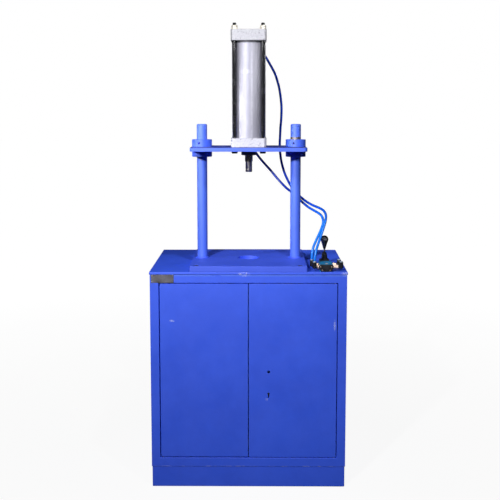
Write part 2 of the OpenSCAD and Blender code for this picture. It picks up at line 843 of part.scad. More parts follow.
// A groove for a ring seal, cut round a spigot of the bore's size
module seal_groove() {
    difference() {
        cylinder(d = bore_d + 1, h = cap_seal_w);
        translate([0, 0, -eps]) cylinder(d = bore_d - 2 * cap_seal_depth, h = cap_seal_w + 2 * eps);
    }
}

// The port, drilled from the back to the middle chamber
module port_drilling(z) {
    translate([0, 0, z]) along_y() cylinder(d = port_d, h = cap_w / 2 + eps);
}

// The cast cap at the head of the cylinder
module top_cap() {
    color([0.86, 0.87, 0.9]) translate([0, press_y, 0]) difference() {
        union() {
            translate([0, 0, barrel_top]) round_plate(cap_w, cap_w, top_cap_h, cap_corner_r);
            translate([0, 0, barrel_top - spigot_h]) cylinder(d = bore_d, h = spigot_h + eps);
        }
        translate([0, 0, barrel_top - spigot_h + (spigot_h - cap_seal_w) / 2]) seal_groove();
        translate([0, 0, barrel_top - spigot_h - eps])
            cylinder(d = chamber_d, h = upper_port_z + port_d / 2 - barrel_top + spigot_h);
        port_drilling(upper_port_z);
        for (x = [-1, 1], y = [-1, 1])
            translate([x * tie_rod_pitch / 2, y * tie_rod_pitch / 2, barrel_top - eps])
                cylinder(d = tie_rod_d + 0.5, h = top_cap_h + 2 * eps);
    }
}

// The cast cap at the rod end, with the boss that passes through the bridge plate
module bottom_cap() {
    color([0.86, 0.87, 0.9]) translate([0, press_y, 0]) difference() {
        union() {
            translate([0, 0, bridge_top]) round_plate(cap_w, cap_w, bottom_cap_h, cap_corner_r);
            translate([0, 0, boss_bottom]) cylinder(d = boss_d, h = bridge_top - boss_bottom + eps);
            translate([0, 0, barrel_bottom - eps]) cylinder(d = bore_d, h = spigot_h + eps);
        }
        translate([0, 0, barrel_bottom + (spigot_h - cap_seal_w) / 2]) seal_groove();
        translate([0, 0, lower_chamber_z])
            cylinder(d = chamber_d, h = barrel_bottom + spigot_h - lower_chamber_z + eps);
        translate([0, 0, boss_bottom + lip_h + rod_seal_h])
            cylinder(d = rod_d + 2 * bush_wall, h = bottom_cap_h + bridge_t + boss_drop);
        translate([0, 0, boss_bottom + lip_h])
            cylinder(d = rod_d + 2 * rod_seal_wall, h = rod_seal_h + eps);
        translate([0, 0, boss_bottom - eps])
            cylinder(d = rod_d + 2 * easy_gap, h = lip_h + 2 * eps);
        port_drilling(lower_port_z);
        for (x = [-1, 1], y = [-1, 1])
            translate([x * tie_rod_pitch / 2, y * tie_rod_pitch / 2, 0]) {
                translate([0, 0, barrel_bottom - tie_grip])
                    cylinder(d = tie_rod_d, h = tie_grip + eps);
                translate([0, 0, bridge_top - eps]) cylinder(d = mount_bolt_d, h = mount_grip);
            }
    }
}

module barrel() {
    color([0.75, 0.75, 0.8]) translate([0, press_y, barrel_bottom])
        ring(barrel_d, bore_d, barrel_l);
}

// Black rods that clamp the two caps to the barrel
module tie_rods() {
    length = tie_grip + barrel_l + top_cap_h + tie_nut_h + tie_end;
    chamfer = 1.5;
    color([0.1, 0.1, 0.11]) at_tie_rods() translate([0, 0, barrel_bottom - tie_grip]) {
        cylinder(d = tie_rod_d, h = length - chamfer);
        translate([0, 0, length - chamfer])
            cylinder(d1 = tie_rod_d, d2 = tie_rod_d - 2 * chamfer, h = chamfer);
    }
}

module tie_rod_nuts() {
    color([0.8, 0.74, 0.58]) at_tie_rods() translate([0, 0, cylinder_top]) difference() {
        hexagon(tie_nut_af, tie_nut_h);
        translate([0, 0, -eps]) cylinder(d = tie_rod_d, h = tie_nut_h + 2 * eps);
    }
}

// Hexagon bolts that hold the cylinder to the bridge plate, from below
module mount_bolts() {
    shank_l = mount_washer_t + bridge_t + mount_grip - 0.5;
    color([0.1, 0.1, 0.11]) at_tie_rods() translate([0, 0, bridge_bottom - mount_washer_t]) {
        translate([0, 0, -mount_head_h]) hexagon(mount_head_af, mount_head_h);
        cylinder(d = mount_bolt_d, h = shank_l);
    }
}

module mount_washers() {
    color([0.6, 0.6, 0.62]) at_tie_rods() translate([0, 0, bridge_bottom - mount_washer_t])
        ring(mount_washer_d, mount_bolt_d + 1, mount_washer_t);
}

// Places of the two piston seals, above the piston's underside
seal_places = [piston_h * 0.25 - seal_w / 2, piston_h * 0.75 - seal_w / 2];

module piston() {
    piston_d = bore_d - 2 * easy_gap;
    color([0.7, 0.7, 0.73]) translate([0, press_y, piston_bottom]) difference() {
        cylinder(d = piston_d, h = piston_h);
        translate([0, 0, -eps]) cylinder(d = rod_spigot_d, h = piston_h + 2 * eps);
        for (z = seal_places) translate([0, 0, z]) ring(bore_d + 1, bore_d - 2 * seal_depth, seal_w);
    }
}

module piston_seals() {
    color([0.1, 0.1, 0.1]) translate([0, press_y, piston_bottom])
        for (z = seal_places) translate([0, 0, z])
            ring(bore_d - 2 * running_gap, bore_d - 2 * seal_depth, seal_w);
}

// The rod: threaded end, running length, and the spigot that holds the piston
module piston_rod() {
    chamfer = 1.5;
    thread_z = rod_thread_bottom + chamfer;
    shoulder_z = rod_thread_bottom + rod_thread_l;
    color([0.8, 0.8, 0.82]) translate([0, press_y, 0]) {
        translate([0, 0, rod_thread_bottom])
            cylinder(d1 = rod_thread_d - 2 * chamfer, d2 = rod_thread_d, h = chamfer);
        translate([0, 0, thread_z]) cylinder(d = rod_thread_d, h = rod_thread_l - chamfer);
        translate([0, 0, shoulder_z]) cylinder(d = rod_d, h = piston_bottom - shoulder_z);
        translate([0, 0, piston_bottom])
            cylinder(d = rod_spigot_d, h = piston_h + piston_nut_h + 1);
    }
}

module piston_nut() {
    color([0.6, 0.6, 0.62]) translate([0, press_y, piston_top]) difference() {
        hexagon(piston_nut_af, piston_nut_h);
        translate([0, 0, -eps]) cylinder(d = rod_spigot_d, h = piston_nut_h + 2 * eps);
    }
}

// The bronze bush that guides the rod
module rod_bush() {
    bush_z = boss_bottom + lip_h + rod_seal_h;
    color([0.72, 0.5, 0.25]) translate([0, press_y, bush_z])
        ring(rod_d + 2 * bush_wall, rod_d + 2 * running_gap, lower_chamber_z - bush_z);
}

module rod_seal() {
    color([0.1, 0.1, 0.1]) translate([0, press_y, boss_bottom + lip_h])
        ring(rod_d + 2 * rod_seal_wall, rod_d + 2 * easy_gap, rod_seal_h);
}

// Ring seals between the caps' spigots and the barrel
module cap_seals() {
    color([0.1, 0.1, 0.1]) translate([0, press_y, 0])
        for (z = [barrel_bottom, barrel_top - spigot_h])
            translate([0, 0, z + (spigot_h - cap_seal_w) / 2])
                ring(bore_d, bore_d - 2 * cap_seal_depth, cap_seal_w);
}

// The part of a fitting that screws into a cap's port, with its hexagon outside
module port_thread() {
    translate([0, cap_back_y, 0]) along_y() {
        translate([0, 0, -fitting_thread_l]) cylinder(d = port_d, h = fitting_thread_l);
        hexagon(fitting_hex_af, fitting_hex_h);
    }
}

// The elbow at the back of the top cap, turned down to the right
module upper_port_elbow() {
    arm_l = elbow_reach * sqrt(2);
    half_body = fitting_body_d / 2;
    color([0.1, 0.1, 0.12]) translate([0, 0, upper_port_z]) {
        port_thread();
        translate([0, cap_back_y + fitting_hex_h, 0]) along_y()
            cylinder(d = fitting_body_d, h = upper_elbow_y + half_body - cap_back_y - fitting_hex_h);
        translate([0, upper_elbow_y, 0]) rotate([0, 135, 0]) {
            cylinder(d = fitting_arm_d, h = arm_l - collet_h);
            cylinder(d = collet_d, h = arm_l);
        }
    }
}

// The straight fitting at the back of the bottom cap
module lower_port_fitting() {
    body_y = cap_back_y + fitting_hex_h;
    color([0.1, 0.1, 0.12]) translate([0, 0, lower_port_z]) {
        port_thread();
        translate([0, body_y, 0]) along_y() {
            cylinder(d = fitting_body_d, h = lower_fitting_end_y - collet_h - body_y);
            cylinder(d = collet_d, h = lower_fitting_end_y - body_y);
        }
    }
}

// ---------------------------------------------------------------- air tubes

module upper_air_tube() {
    color([0.05, 0.35, 0.95]) tube(upper_tube_route, tube_d);
}

module lower_air_tube() {
    color([0.05, 0.35, 0.95]) tube(lower_tube_route, tube_d);
}

// ---------------------------------------------------------------- hand valve

// Places a shape at each of the valve's side ports, pointing out along +Z
module at_valve_ports() {
    for (p = valve_ports)
        translate([valve_x + p[0] * valve_w / 2, p[1], port_z]) along_x(p[0]) children();
}

// The ported block that the spool runs in
module valve_body() {
    mid_y = (body_front_y + body_back_y) / 2;
    color([0.08, 0.45, 0.62]) difference() {
        translate([valve_x, mid_y, 0]) block([valve_w, valve_l, valve_h], cabinet_h);
        translate([valve_x, body_front_y - eps, spool_z]) along_y()
            cylinder(d = spool_d + 2 * running_gap, h = valve_l + 2 * eps);
        at_valve_ports() translate([0, 0, -port_depth]) cylinder(d = port_thread_d, h = port_depth + eps);
        for (s = [-1, 1]) translate([valve_x + s * valve_screw_x, mid_y, cabinet_h]) {
            translate([0, 0, -eps]) cylinder(d = valve_screw_d, h = valve_h);
            translate([0, 0, valve_h - valve_screw_head_h])
                cylinder(d = valve_screw_head_d + 0.5, h = valve_screw_head_h + eps);
        }
    }
}

// Screws that hold the valve to the cabinet top
module valve_screws() {
    mid_y = (body_front_y + body_back_y) / 2;
    head_z = cabinet_h + valve_h - valve_screw_head_h;
    color([0.6, 0.6, 0.62]) for (s = [-1, 1])
        translate([valve_x + s * valve_screw_x, mid_y, head_z]) difference() {
            union() {
                cylinder(d = valve_screw_head_d, h = valve_screw_head_h - 0.5);
                translate([0, 0, -valve_screw_l]) cylinder(d = valve_screw_d, h = valve_screw_l);
            }
            translate([0, 0, valve_screw_head_h - 3]) hexagon(3, 3);
        }
}

// Places of the end plate's screws, from the middle of the plate
end_screw_places = [[-17, 4], [17, 4], [-12, -6], [12, -6]];

// The eight-sided black cover over the valve's front
module valve_end_plate() {
    half_w = end_plate_w / 2;
    top = valve_h / 2;
    color([0.06, 0.06, 0.07]) translate([valve_x, valve_front_y, cabinet_h + valve_h / 2])
        difference() {
            rotate([90, 0, 0]) mirror([0, 0, 1]) linear_extrude(end_plate_t)
                polygon([[-half_w + 4, top], [half_w - 4, top], [half_w, top - 4],
                    [half_w, -1], [half_w - 7, -top], [-half_w + 7, -top],
                    [-half_w, -1], [-half_w, top - 4]]);
            for (p = end_screw_places) translate([p[0], -eps, p[1]]) along_y()
                cylinder(d = end_screw_d, h = end_plate_t + 2 * eps);
        }
}

module end_plate_screws() {
    socket_h = 0.8;
    color([0.75, 0.66, 0.4]) translate([valve_x, valve_front_y, cabinet_h + valve_h / 2])
        for (p = end_screw_places) translate([p[0], 0, p[1]]) along_y() difference() {
            union() {
                translate([0, 0, -end_screw_head_h]) cylinder(d = end_screw_head_d, h = end_screw_head_h);
                cylinder(d = end_screw_d, h = end_plate_t);
            }
            translate([0, 0, -end_screw_head_h - eps]) hexagon(2.2, socket_h);
        }
}

// The block behind the body in which the lever turns
module lever_housing() {
    color([0.06, 0.06, 0.07]) difference() {
        translate([valve_x, lever_y, 0]) block([housing_w, housing_l, housing_h], cabinet_h);
        translate([valve_x, lever_y, 0])
            block([cavity_w, cavity_l, housing_h], cabinet_h + cavity_floor);
        translate([valve_x, body_back_y - eps, spool_z]) along_y()
            cylinder(d = spool_d + 4 * running_gap, h = housing_l / 2);
        translate([valve_x - lever_pin_l / 2, lever_y, pivot_z]) along_x()
            cylinder(d = lever_pin_d, h = lever_pin_l);
    }
}

// The sliding spool, necked between its lands, with a slot for the lever's ball
module spool() {
    neck_l = 9;
    color([0.8, 0.8, 0.82]) difference() {
        translate([valve_x, spool_front_y, spool_z]) along_y()
            cylinder(d = spool_d, h = spool_back_y - spool_front_y);
        for (y = [front_port_y - neck_l / 2, rear_port_y - neck_l / 2])
            translate([valve_x, y, spool_z]) along_y() ring(spool_d + 1, spool_neck_d, neck_l);
        translate([valve_x, lever_y, 0])
            block([spool_slot, spool_slot, spool_d + 2], spool_z - lever_ball_d / 2 - 1);
    }
}

// The lever: a round bar with a hub for its pin, and a thin tip with a ball that moves the spool
module lever() {
    bar_l = knob_z + lever_in_knob - pivot_z;
    color([0.8, 0.8, 0.82]) difference() {
        translate([valve_x, lever_y, 0]) {
            translate([0, 0, pivot_z]) cylinder(d = lever_d, h = bar_l);
            translate([0, 0, spool_z]) cylinder(d = lever_tip_d, h = lever_arm);
            translate([0, 0, spool_z]) sphere(d = lever_ball_d);
            translate([-lever_hub_w / 2, 0, pivot_z]) along_x()
                cylinder(d = lever_hub_d, h = lever_hub_w);
        }
        translate([valve_x - lever_hub_w, lever_y, pivot_z]) along_x()
            cylinder(d = lever_pin_d + 2 * running_gap, h = 2 * lever_hub_w);
    }
}

module lever_pin() {
    color([0.6, 0.6, 0.62]) translate([valve_x - lever_pin_l / 2, lever_y, pivot_z]) along_x()
        cylinder(d = lever_pin_d, h = lever_pin_l);
}

// A drop-shaped knob, bored to push onto the lever
module lever_knob() {
    neck_d = 8;
    ball_z = knob_h - knob_d / 2;
    shoulder_z = ball_z - 0.16 * knob_d;
    shoulder_d = knob_d * sqrt(1 - pow(0.32, 2));
    color([0.05, 0.05, 0.06]) translate([valve_x, lever_y, knob_z]) difference() {
        union() {
            cylinder(d1 = neck_d, d2 = shoulder_d, h = shoulder_z);
            translate([0, 0, ball_z]) sphere(d = knob_d);
        }
        translate([0, 0, -eps]) cylinder(d = lever_d, h = lever_in_knob + eps);
    }
}

// The rubber boot: three steps narrowing to the lever, hollow inside
module lever_boot() {
    base_r = boot_base_d / 2;
    neck_r = boot_neck_d / 2;
    step_r = (base_r - neck_r) / 3;
    step_h = (boot_h - boot_flange_h) / 3;
    bore_r = lever_d / 2 + 0.1;
    color([0.07, 0.07, 0.08]) translate([valve_x, lever_y, housing_top]) rotate_extrude()
        polygon([
            [base_r - boot_wall, 0], [base_r, 0], [base_r, boot_flange_h],
            [base_r - step_r, boot_flange_h + step_h * 0.8],
            [base_r - step_r, boot_flange_h + step_h],
            [base_r - 2 * step_r, boot_flange_h + step_h * 1.8],
            [base_r - 2 * step_r, boot_flange_h + step_h * 2],
            [neck_r, boot_flange_h + step_h * 2.7], [neck_r, boot_h], [bore_r, boot_h],
            [bore_r, boot_h - 4], [base_r - boot_wall, boot_flange_h]]);
}

// Brass nipples between the body and the elbows
module valve_nipples() {
    color([0.8, 0.6, 0.4]) for (p = valve_ports)
        translate([valve_x + p[0] * valve_w / 2, p[1], port_z]) along_x(p[0]) {
            translate([0, 0, -port_depth]) cylinder(d = port_thread_d, h = port_depth);
            rotate([0, 0, 30]) hexagon(nipple_af, p[2] - elbow_stub_l);
        }
}

// Black push-in elbows with open, upright mouths
module valve_elbows() {
    arm_top = elbow_mouth_rise;
    color([0.06, 0.06, 0.07]) for (p = valve_ports)
        translate([valve_x + p[0] * (valve_w / 2 + p[2]), p[1], port_z]) difference() {
            union() {
                along_x(-p[0]) cylinder(d = elbow_stub_d, h = elbow_stub_l);
                sphere(d = elbow_arm_d);
                cylinder(d = elbow_arm_d, h = arm_top);
            }
            translate([0, 0, arm_top - elbow_bore_depth])
                cylinder(d = tube_d + 0.2, h = elbow_bore_depth + eps);
        }
}

// Release rings at the elbows' mouths
module valve_collets() {
    color([0.6, 0.68, 0.8]) for (p = valve_ports)
        translate([valve_x + p[0] * (valve_w / 2 + p[2]), p[1], port_z + elbow_mouth_rise])
            ring(collet_d, collet_bore_d, collet_h);
}

plinth();
floor_panel();
left_side_panel();
right_side_panel();
back_panel();
front_frame();
cabinet_top();
left_bearer();
right_bearer();
left_door();
right_door();
door_pivot_pins();
lock_case();
lock_bolt();
nameplate();
nameplate_rivets();
base_plate();
base_bolts();
base_washers();
base_nuts();
left_column();
right_column();
column_welds();
bridge_plate();
left_clamp_collar();
right_clamp_collar();
left_guide_collar();
right_guide_collar();
collar_screws();
top_cap();
bottom_cap();
barrel();
tie_rods();
tie_rod_nuts();
mount_bolts();
mount_washers();
piston();
piston_rod();
piston_nut();
piston_seals();
rod_bush();
rod_seal();
cap_seals();
upper_port_elbow();
lower_port_fitting();
upper_air_tube();
lower_air_tube();
valve_body();
valve_end_plate();
end_plate_screws();
lever_housing();
spool();
lever();
lever_pin();
lever_knob();
lever_boot();
valve_screws();
valve_elbows();
valve_nipples();
valve_collets();
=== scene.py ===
"""Pneumatic bench press: the finish of every surface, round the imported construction.

Metres, in the press's own frame: +Z is up, the doors face -Y, and the origin is on the floor.
"""

import json
import math
from functools import partialmethod, reduce

import bmesh
import bpy
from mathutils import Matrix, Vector


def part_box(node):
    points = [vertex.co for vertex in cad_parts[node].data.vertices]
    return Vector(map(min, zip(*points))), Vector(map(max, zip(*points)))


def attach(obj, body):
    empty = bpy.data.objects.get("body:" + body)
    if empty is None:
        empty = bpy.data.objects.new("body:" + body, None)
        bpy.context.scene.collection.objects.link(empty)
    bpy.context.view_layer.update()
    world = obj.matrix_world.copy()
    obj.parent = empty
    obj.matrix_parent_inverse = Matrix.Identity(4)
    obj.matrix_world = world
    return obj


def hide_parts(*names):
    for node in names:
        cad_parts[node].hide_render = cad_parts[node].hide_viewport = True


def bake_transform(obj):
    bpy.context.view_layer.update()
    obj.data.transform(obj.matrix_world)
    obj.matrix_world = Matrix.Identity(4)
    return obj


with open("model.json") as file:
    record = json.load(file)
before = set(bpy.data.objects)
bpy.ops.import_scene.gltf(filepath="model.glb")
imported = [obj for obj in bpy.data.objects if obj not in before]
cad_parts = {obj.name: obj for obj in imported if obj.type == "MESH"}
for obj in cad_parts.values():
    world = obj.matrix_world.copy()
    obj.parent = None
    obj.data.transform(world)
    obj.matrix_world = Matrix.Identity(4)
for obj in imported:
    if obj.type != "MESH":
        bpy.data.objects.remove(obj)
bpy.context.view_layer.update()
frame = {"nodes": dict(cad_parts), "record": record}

NODES = frame["nodes"]
BODY = {node: body for body, members in frame["record"]["behaviour"]["bodies"].items()
        for node in members}
MM = 0.001
MERGE = 2e-6                # vertices closer than this are one
TINY = 1e-9                 # a radius below this is on the axis
SHARP = math.radians(28)    # edges that turn more than this are sharp
FLAT = math.radians(0.5)    # facets that turn less than this are one face


def mm(*sizes):
    """Millimetres as a tuple of metres."""
    return tuple(size * MM for size in sizes)


def middle(node):
    """Centre of a node's box."""
    low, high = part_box(node)
    return (low + high) / 2


def upright(node):
    """Radius, height and foot of a round node that stands upright."""
    low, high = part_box(node)
    return (high.x - low.x) / 2, high.z - low.z, (middle(node).x, middle(node).y, low.z)


def new_object(name, data):
    """An object in the scene, at the origin."""
    thing = bpy.data.objects.new(name, data)
    bpy.context.scene.collection.objects.link(thing)
    return thing


# ---------------------------------------------------------------- node trees

class Nodes:
    """A node tree of any kind; each call adds a node and gives back its output."""

    def __init__(self, tree):
        self.tree = tree
        tree.nodes.clear()

    def put(self, socket, value):
        """Links a value that varies, or sets one that doesn't."""
        if isinstance(value, bpy.types.NodeSocket):
            self.tree.links.new(value, socket)
        elif socket.type == "RGBA":
            socket.default_value = (*value, 1)
        else:
            socket.default_value = value

    def add(self, kind, sockets=None, out=None, **settings):
        """A new node's output; a socket takes a number, another node's output or a list."""
        node = self.tree.nodes.new(kind)
        for key, value in settings.items():
            setattr(node, key, value)
        for key, value in (sockets or {}).items():
            named = (s for s in node.inputs if s.enabled and s.name == key)
            socket = node.inputs[key] if isinstance(key, int) else next(named)
            for one in value if isinstance(value, list) else [value]:
                self.put(socket, one)
        if out is not None:
            return node.outputs[out]
        return next((output for output in node.outputs if output.enabled), None)

    def calc(self, operation, a, b=0.0):
        """A sum or a comparison; the common ones have names of their own."""
        return self.add("ShaderNodeMath", {0: a, 1: b}, operation=operation)

    plus = partialmethod(calc, "ADD")
    minus = partialmethod(calc, "SUBTRACT")
    times = partialmethod(calc, "MULTIPLY")
    over = partialmethod(calc, "DIVIDE")
    most = partialmethod(calc, "MAXIMUM")

    def between(self, value, low, high, out_low=0.0, out_high=1.0):
        """A value eased from one range to another."""
        return self.add("ShaderNodeMapRange", {
            "Value": value, "From Min": low, "From Max": high, "To Min": out_low,
            "To Max": out_high}, interpolation_type="SMOOTHSTEP")

    def level(self, share, low, high):
        """A number that goes from low to high with the share."""
        return self.add("ShaderNodeMix", {0: share, 2: low, 3: high}, out=0)

    def mix(self, share, a, b):
        """A colour that goes from one to the other with the share."""
        return self.add("ShaderNodeMix", {0: share, 6: a, 7: b}, out=2, data_type="RGBA")

    def ray(self, kind):
        """1 for a ray of this kind."""
        return self.add("ShaderNodeLightPath", out=f"Is {kind} Ray")

    def seen(self):
        """1 for what the eye sees, straight or through something clear."""
        return self.most(self.ray("Camera"), self.ray("Transmission"))


# ---------------------------------------------------------------- camera, room and lamps

def make_camera():
    """A long lens in front of the press, a little above the table and looking slightly down."""
    data = bpy.data.cameras.new("camera")
    data.lens = 66.5
    data.sensor_width = 36
    data.shift_y = -0.076
    camera = new_object("camera", data)
    camera.location = (0.026, -3.0175, 1.1825)
    down, left = 6.4, 0.43
    camera.rotation_euler = (math.radians(90 - down), 0, math.radians(left))
    bpy.context.scene.camera = camera


def softbox(name, place, aim, size, watts, grid, mirrored=True):
    """A studio lamp that looks at a point; a grid narrows its beam to so many degrees."""
    data = bpy.data.lights.new(name, "AREA")
    data.shape = "RECTANGLE"
    data.size, data.size_y = size
    data.energy = watts
    data.spread = math.radians(grid)
    lamp = new_object(name, data)
    lamp.location = place
    lamp.rotation_euler = (Vector(aim) - Vector(place)).to_track_quat("-Z", "Y").to_euler()
    lamp.visible_camera = False
    lamp.visible_glossy = mirrored


def make_lamps():
    """A low softbox and a high one in front, lamps with grids for the upper part, and four low
    ones that reach only the sides and the back of the cabinet."""
    aim = (0, -0.15, 0.84)
    softbox("left_softbox", (-0.70, -2.10, 1.80), aim, (0.09, 0.11), 12.4, 88)
    softbox("high_softbox", (0.58, -1.54, 2.94), aim, (0.08, 0.08), 4.2, 88)
    softbox("cylinder_lamp", (0.95, -1.30, 1.75), (0, -0.08, 1.30), (0.06, 0.08), 0.16, 24)
    softbox("left_strip", (-1.60, -2.20, 2.00), (0, -0.05, 1.20), (0.14, 0.50), 0.45, 60)
    softbox("side_strip", (-2.10, -1.03, 1.98), (-0.16, -0.05, 1.09), (0.16, 0.22), 0.52, 16)
    softbox("back_lamp", (0.45, 2.20, 1.50), (0, 0, 1.30), (0.20, 0.30), 0.045, 24)
    for side in (-1, 1):
        softbox("back_softbox", (side * 1.5, 1.9, 0.34), (0, 0.2, 0.34), (0.9, 0.5), 1.1, 60,
                mirrored=False)
        softbox("side_softbox", (side * 2.3, 0, 0.30), (0, 0, 0.30), (0.8, 0.4), 0.30, 40,
                mirrored=False)


def make_room(fill, mirrored):
    """A grey room, white to the eye. Each level is a pair: in front of the press, and behind it."""
    world = bpy.data.worlds.new("room")
    bpy.context.scene.world = world
    world.use_nodes = True
    t = Nodes(world.node_tree)
    direction = t.add("ShaderNodeTexCoord", out="Generated")
    behind = t.between(t.add("ShaderNodeSeparateXYZ", {0: direction}, out="Y"), -0.3, 0.7)
    level = t.level(t.ray("Glossy"), t.level(behind, *fill), t.level(behind, *mirrored))
    light = t.add("ShaderNodeBackground", {
        "Color": t.mix(t.seen(), (0.80, 0.84, 1), (1, 1, 1)),
        "Strength": t.level(t.seen(), level, 1.0)})
    t.add("ShaderNodeOutputWorld", {0: light})


def make_floor(seen, mirrored):
    """A wide pale floor that keeps the press's shadow; it glows a little to reach white."""
    look = bpy.data.materials.new("studio_floor")
    look.use_nodes = True
    t = Nodes(look.node_tree)
    away = t.add("ShaderNodeVectorMath", {0: t.add("ShaderNodeTexCoord", out="Object")},
                 out="Value", operation="LENGTH")
    far = t.add("ShaderNodeMapRange", {"Value": away, "From Min": 0.6, "From Max": 3.0})
    level = t.level(t.seen(), t.level(t.ray("Glossy"), 0.0, mirrored), t.level(far, seen, 1.0))
    both = t.add("ShaderNodeAddShader", {
        0: t.add("ShaderNodeBsdfDiffuse", {"Color": (0.07, 0.07, 0.07)}),
        1: t.add("ShaderNodeEmission", {"Strength": level})})
    t.add("ShaderNodeOutputMaterial", {0: both})
    mesh = bpy.data.meshes.new("studio_floor")
    half = 30.0
    corners = [(-half, -half, 0), (half, -half, 0), (half, half, 0), (-half, half, 0)]
    mesh.from_pydata(corners, [], [(0, 1, 2, 3)])
    mesh.materials.append(look)
    new_object("studio_floor", mesh)


# ---------------------------------------------------------------- meshes

def link_piece(name, mesh, look):
    """A new object for a finished mesh, at the origin."""
    mesh.materials.clear()
    mesh.materials.append(look)
    return new_object(name, mesh)


def from_bmesh(name, bm, look):
    """A new object for a mesh in the making, shaded smooth."""
    mesh = bpy.data.meshes.new(name)
    for face in bm.faces:
        face.smooth = True
    bm.to_mesh(mesh)
    bm.free()
    return link_piece(name, mesh, look)


def baked(piece):
    """The piece with its modifiers made part of its mesh."""
    depsgraph = bpy.context.evaluated_depsgraph_get()
    mesh = bpy.data.meshes.new_from_object(piece.evaluated_get(depsgraph), depsgraph=depsgraph)
    piece.modifiers.clear()
    old = piece.data
    piece.data = mesh
    bpy.data.meshes.remove(old)
    mesh.name = piece.name
    return piece


def level_normals(piece):
    """Keeps flat faces flat to the light and round ones round."""
    normals = piece.modifiers.new("level_normals", "WEIGHTED_NORMAL")
    normals.mode = "FACE_AREA"
    normals.weight = 60
    return baked(piece)


def merged_copy(node):
    """A copy of a node's mesh with its double vertices merged."""
    bm = bmesh.new()
    bm.from_mesh(NODES[node].data)
    bmesh.ops.remove_doubles(bm, verts=bm.verts, dist=MERGE)
    return bm


def is_fold(edge):
    """Whether both faces at an edge are wide, as at a fold and unlike at the sheet's own edge."""
    least_width = 5 * MM
    return min(face.calc_area() / max(e.calc_length() for e in face.edges)
               for face in edge.link_faces) > least_width


def rounded_copy(node, look, fold, edge):
    """A node's copy with its folds and its sharp edges rounded, each to its own radius."""
    bm = merged_copy(node)
    bmesh.ops.dissolve_limit(bm, angle_limit=FLAT, verts=bm.verts, edges=bm.edges)
    weight = bm.edges.layers.float.new("bevel_weight_edge")
    for e in bm.edges:
        if len(e.link_faces) == 2 and e.calc_face_angle(0) > SHARP:
            e[weight] = 1.0 if is_fold(e) else edge / fold
    piece = from_bmesh(node + "_finished", bm, look)
    bevel = piece.modifiers.new("rounding", "BEVEL")
    bevel.limit_method = "WEIGHT"
    bevel.width = fold
    bevel.segments = 3
    bevel.use_clamp_overlap = False
    bevel.miter_outer = "MITER_SHARP"
    return level_normals(piece)


def soft_profile(points, radius):
    """An outline with its corners rounded; each corner turns within half of its sides."""
    steps, short, straight = 3, 1e-6, math.radians(165)
    out = []
    for i, point in enumerate(points):
        here = Vector(point)
        before = Vector(points[i - 1]) - here
        after = Vector(points[(i + 1) % len(points)]) - here
        cut = min(radius, 0.45 * before.length, 0.45 * after.length)
        if here.x < TINY or cut < short or before.angle(after) > straight:
            out.append(tuple(here))
            continue
        start = here + before.normalized() * cut
        end = here + after.normalized() * cut
        for k in range(steps + 1):
            t = k / steps
            out.append(tuple(start.lerp(here, t).lerp(here.lerp(end, t), t)))
    return out


def lathe(profile, place, sides):
    """A turned solid from a closed outline of (radius, height), standing at a place."""
    bm = bmesh.new()
    rows = []
    for r, z in profile:
        angles = [2 * math.pi * k / sides for k in range(1 if r < TINY else sides)]
        rows.append([bm.verts.new((place[0] + r * math.cos(a), place[1] + r * math.sin(a),
                                   place[2] + z)) for a in angles])
    for one, two in zip(rows, rows[1:] + rows[:1]):
        if len(one) == 1 and len(two) == 1:
            continue
        for k in range(sides):
            n = (k + 1) % sides
            corners = [one[k % len(one)], one[n % len(one)], two[n % len(two)], two[k % len(two)]]
            bm.faces.new(list(dict.fromkeys(corners)))
    bmesh.ops.recalc_face_normals(bm, faces=bm.faces)
    return bm


def turned(name, profile, place, look, sides=96):
    """A turned piece, smooth where it is round."""
    return level_normals(from_bmesh(name, lathe(profile, place, sides), look))


def joined(name, pieces, look):
    """Several meshes as one piece."""
    bm = bmesh.new()
    for piece in pieces:
        bm.from_mesh(piece.data)
        old = piece.data
        bpy.data.objects.remove(piece)
        bpy.data.meshes.remove(old)
    return level_normals(from_bmesh(name, bm, look))


def seat(piece, node, rides=True):
    """The piece takes the place of its node, and moves with its body unless it bends."""
    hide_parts(node)
    if rides:
        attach(piece, BODY[node])


# ---------------------------------------------------------------- air tubes

# The routes of the two air tubes from the cylinder to the hand valve, in millimetres
UPPER_TUBE_ROUTE = [
    (17, 20, 1393), (26, 20, 1384), (40, 22, 1368), (52, 26, 1352), (64, 31, 1333),
    (75, 36, 1314), (85, 41, 1295), (92, 46, 1275), (98, 50, 1254), (102, 53, 1233),
    (105, 56, 1211), (107, 58, 1188), (107, 59, 1165), (106, 60, 1142), (104, 60, 1119),
    (103, 60, 1096), (102, 60, 1073), (102, 59, 1051), (104, 56, 1029), (107, 51, 1008),
    (112, 45, 988), (118, 37, 969), (126, 28, 951), (135, 18, 934), (146, 7, 918),
    (159, -7, 904), (173, -22, 892), (187, -38, 882), (201, -56, 875), (215, -74, 870),
    (228, -93, 866), (238, -111, 860), (243, -129, 849), (241, -145, 833),
    (235, -158, 815), (227, -171, 795), (219, -183, 774), (211, -194, 753),
    (206, -201, 733), (204, -203.5, 714)]
LOWER_TUBE_ROUTE = [
    (0, 27, 1075), (0, 37, 1075), (2, 48, 1072), (6, 58, 1065), (11, 65, 1055),
    (18, 69, 1043), (27, 69, 1029), (38, 66, 1015), (51, 61, 1000), (65, 57, 985),
    (79, 52, 969), (93, 47, 952), (107, 41, 937), (121, 32, 923), (135, 20, 912),
    (150, 5, 900), (165, -12, 887), (179, -30, 875), (193, -49, 865), (207, -68, 858),
    (220, -86, 852), (230, -102, 845), (235, -115, 834), (234, -125, 820),
    (228, -133, 804), (220, -140, 787), (211, -147, 769), (203, -155, 751),
    (199, -161, 732), (198, -163.5, 714)]
TUBE_D = 8 * MM


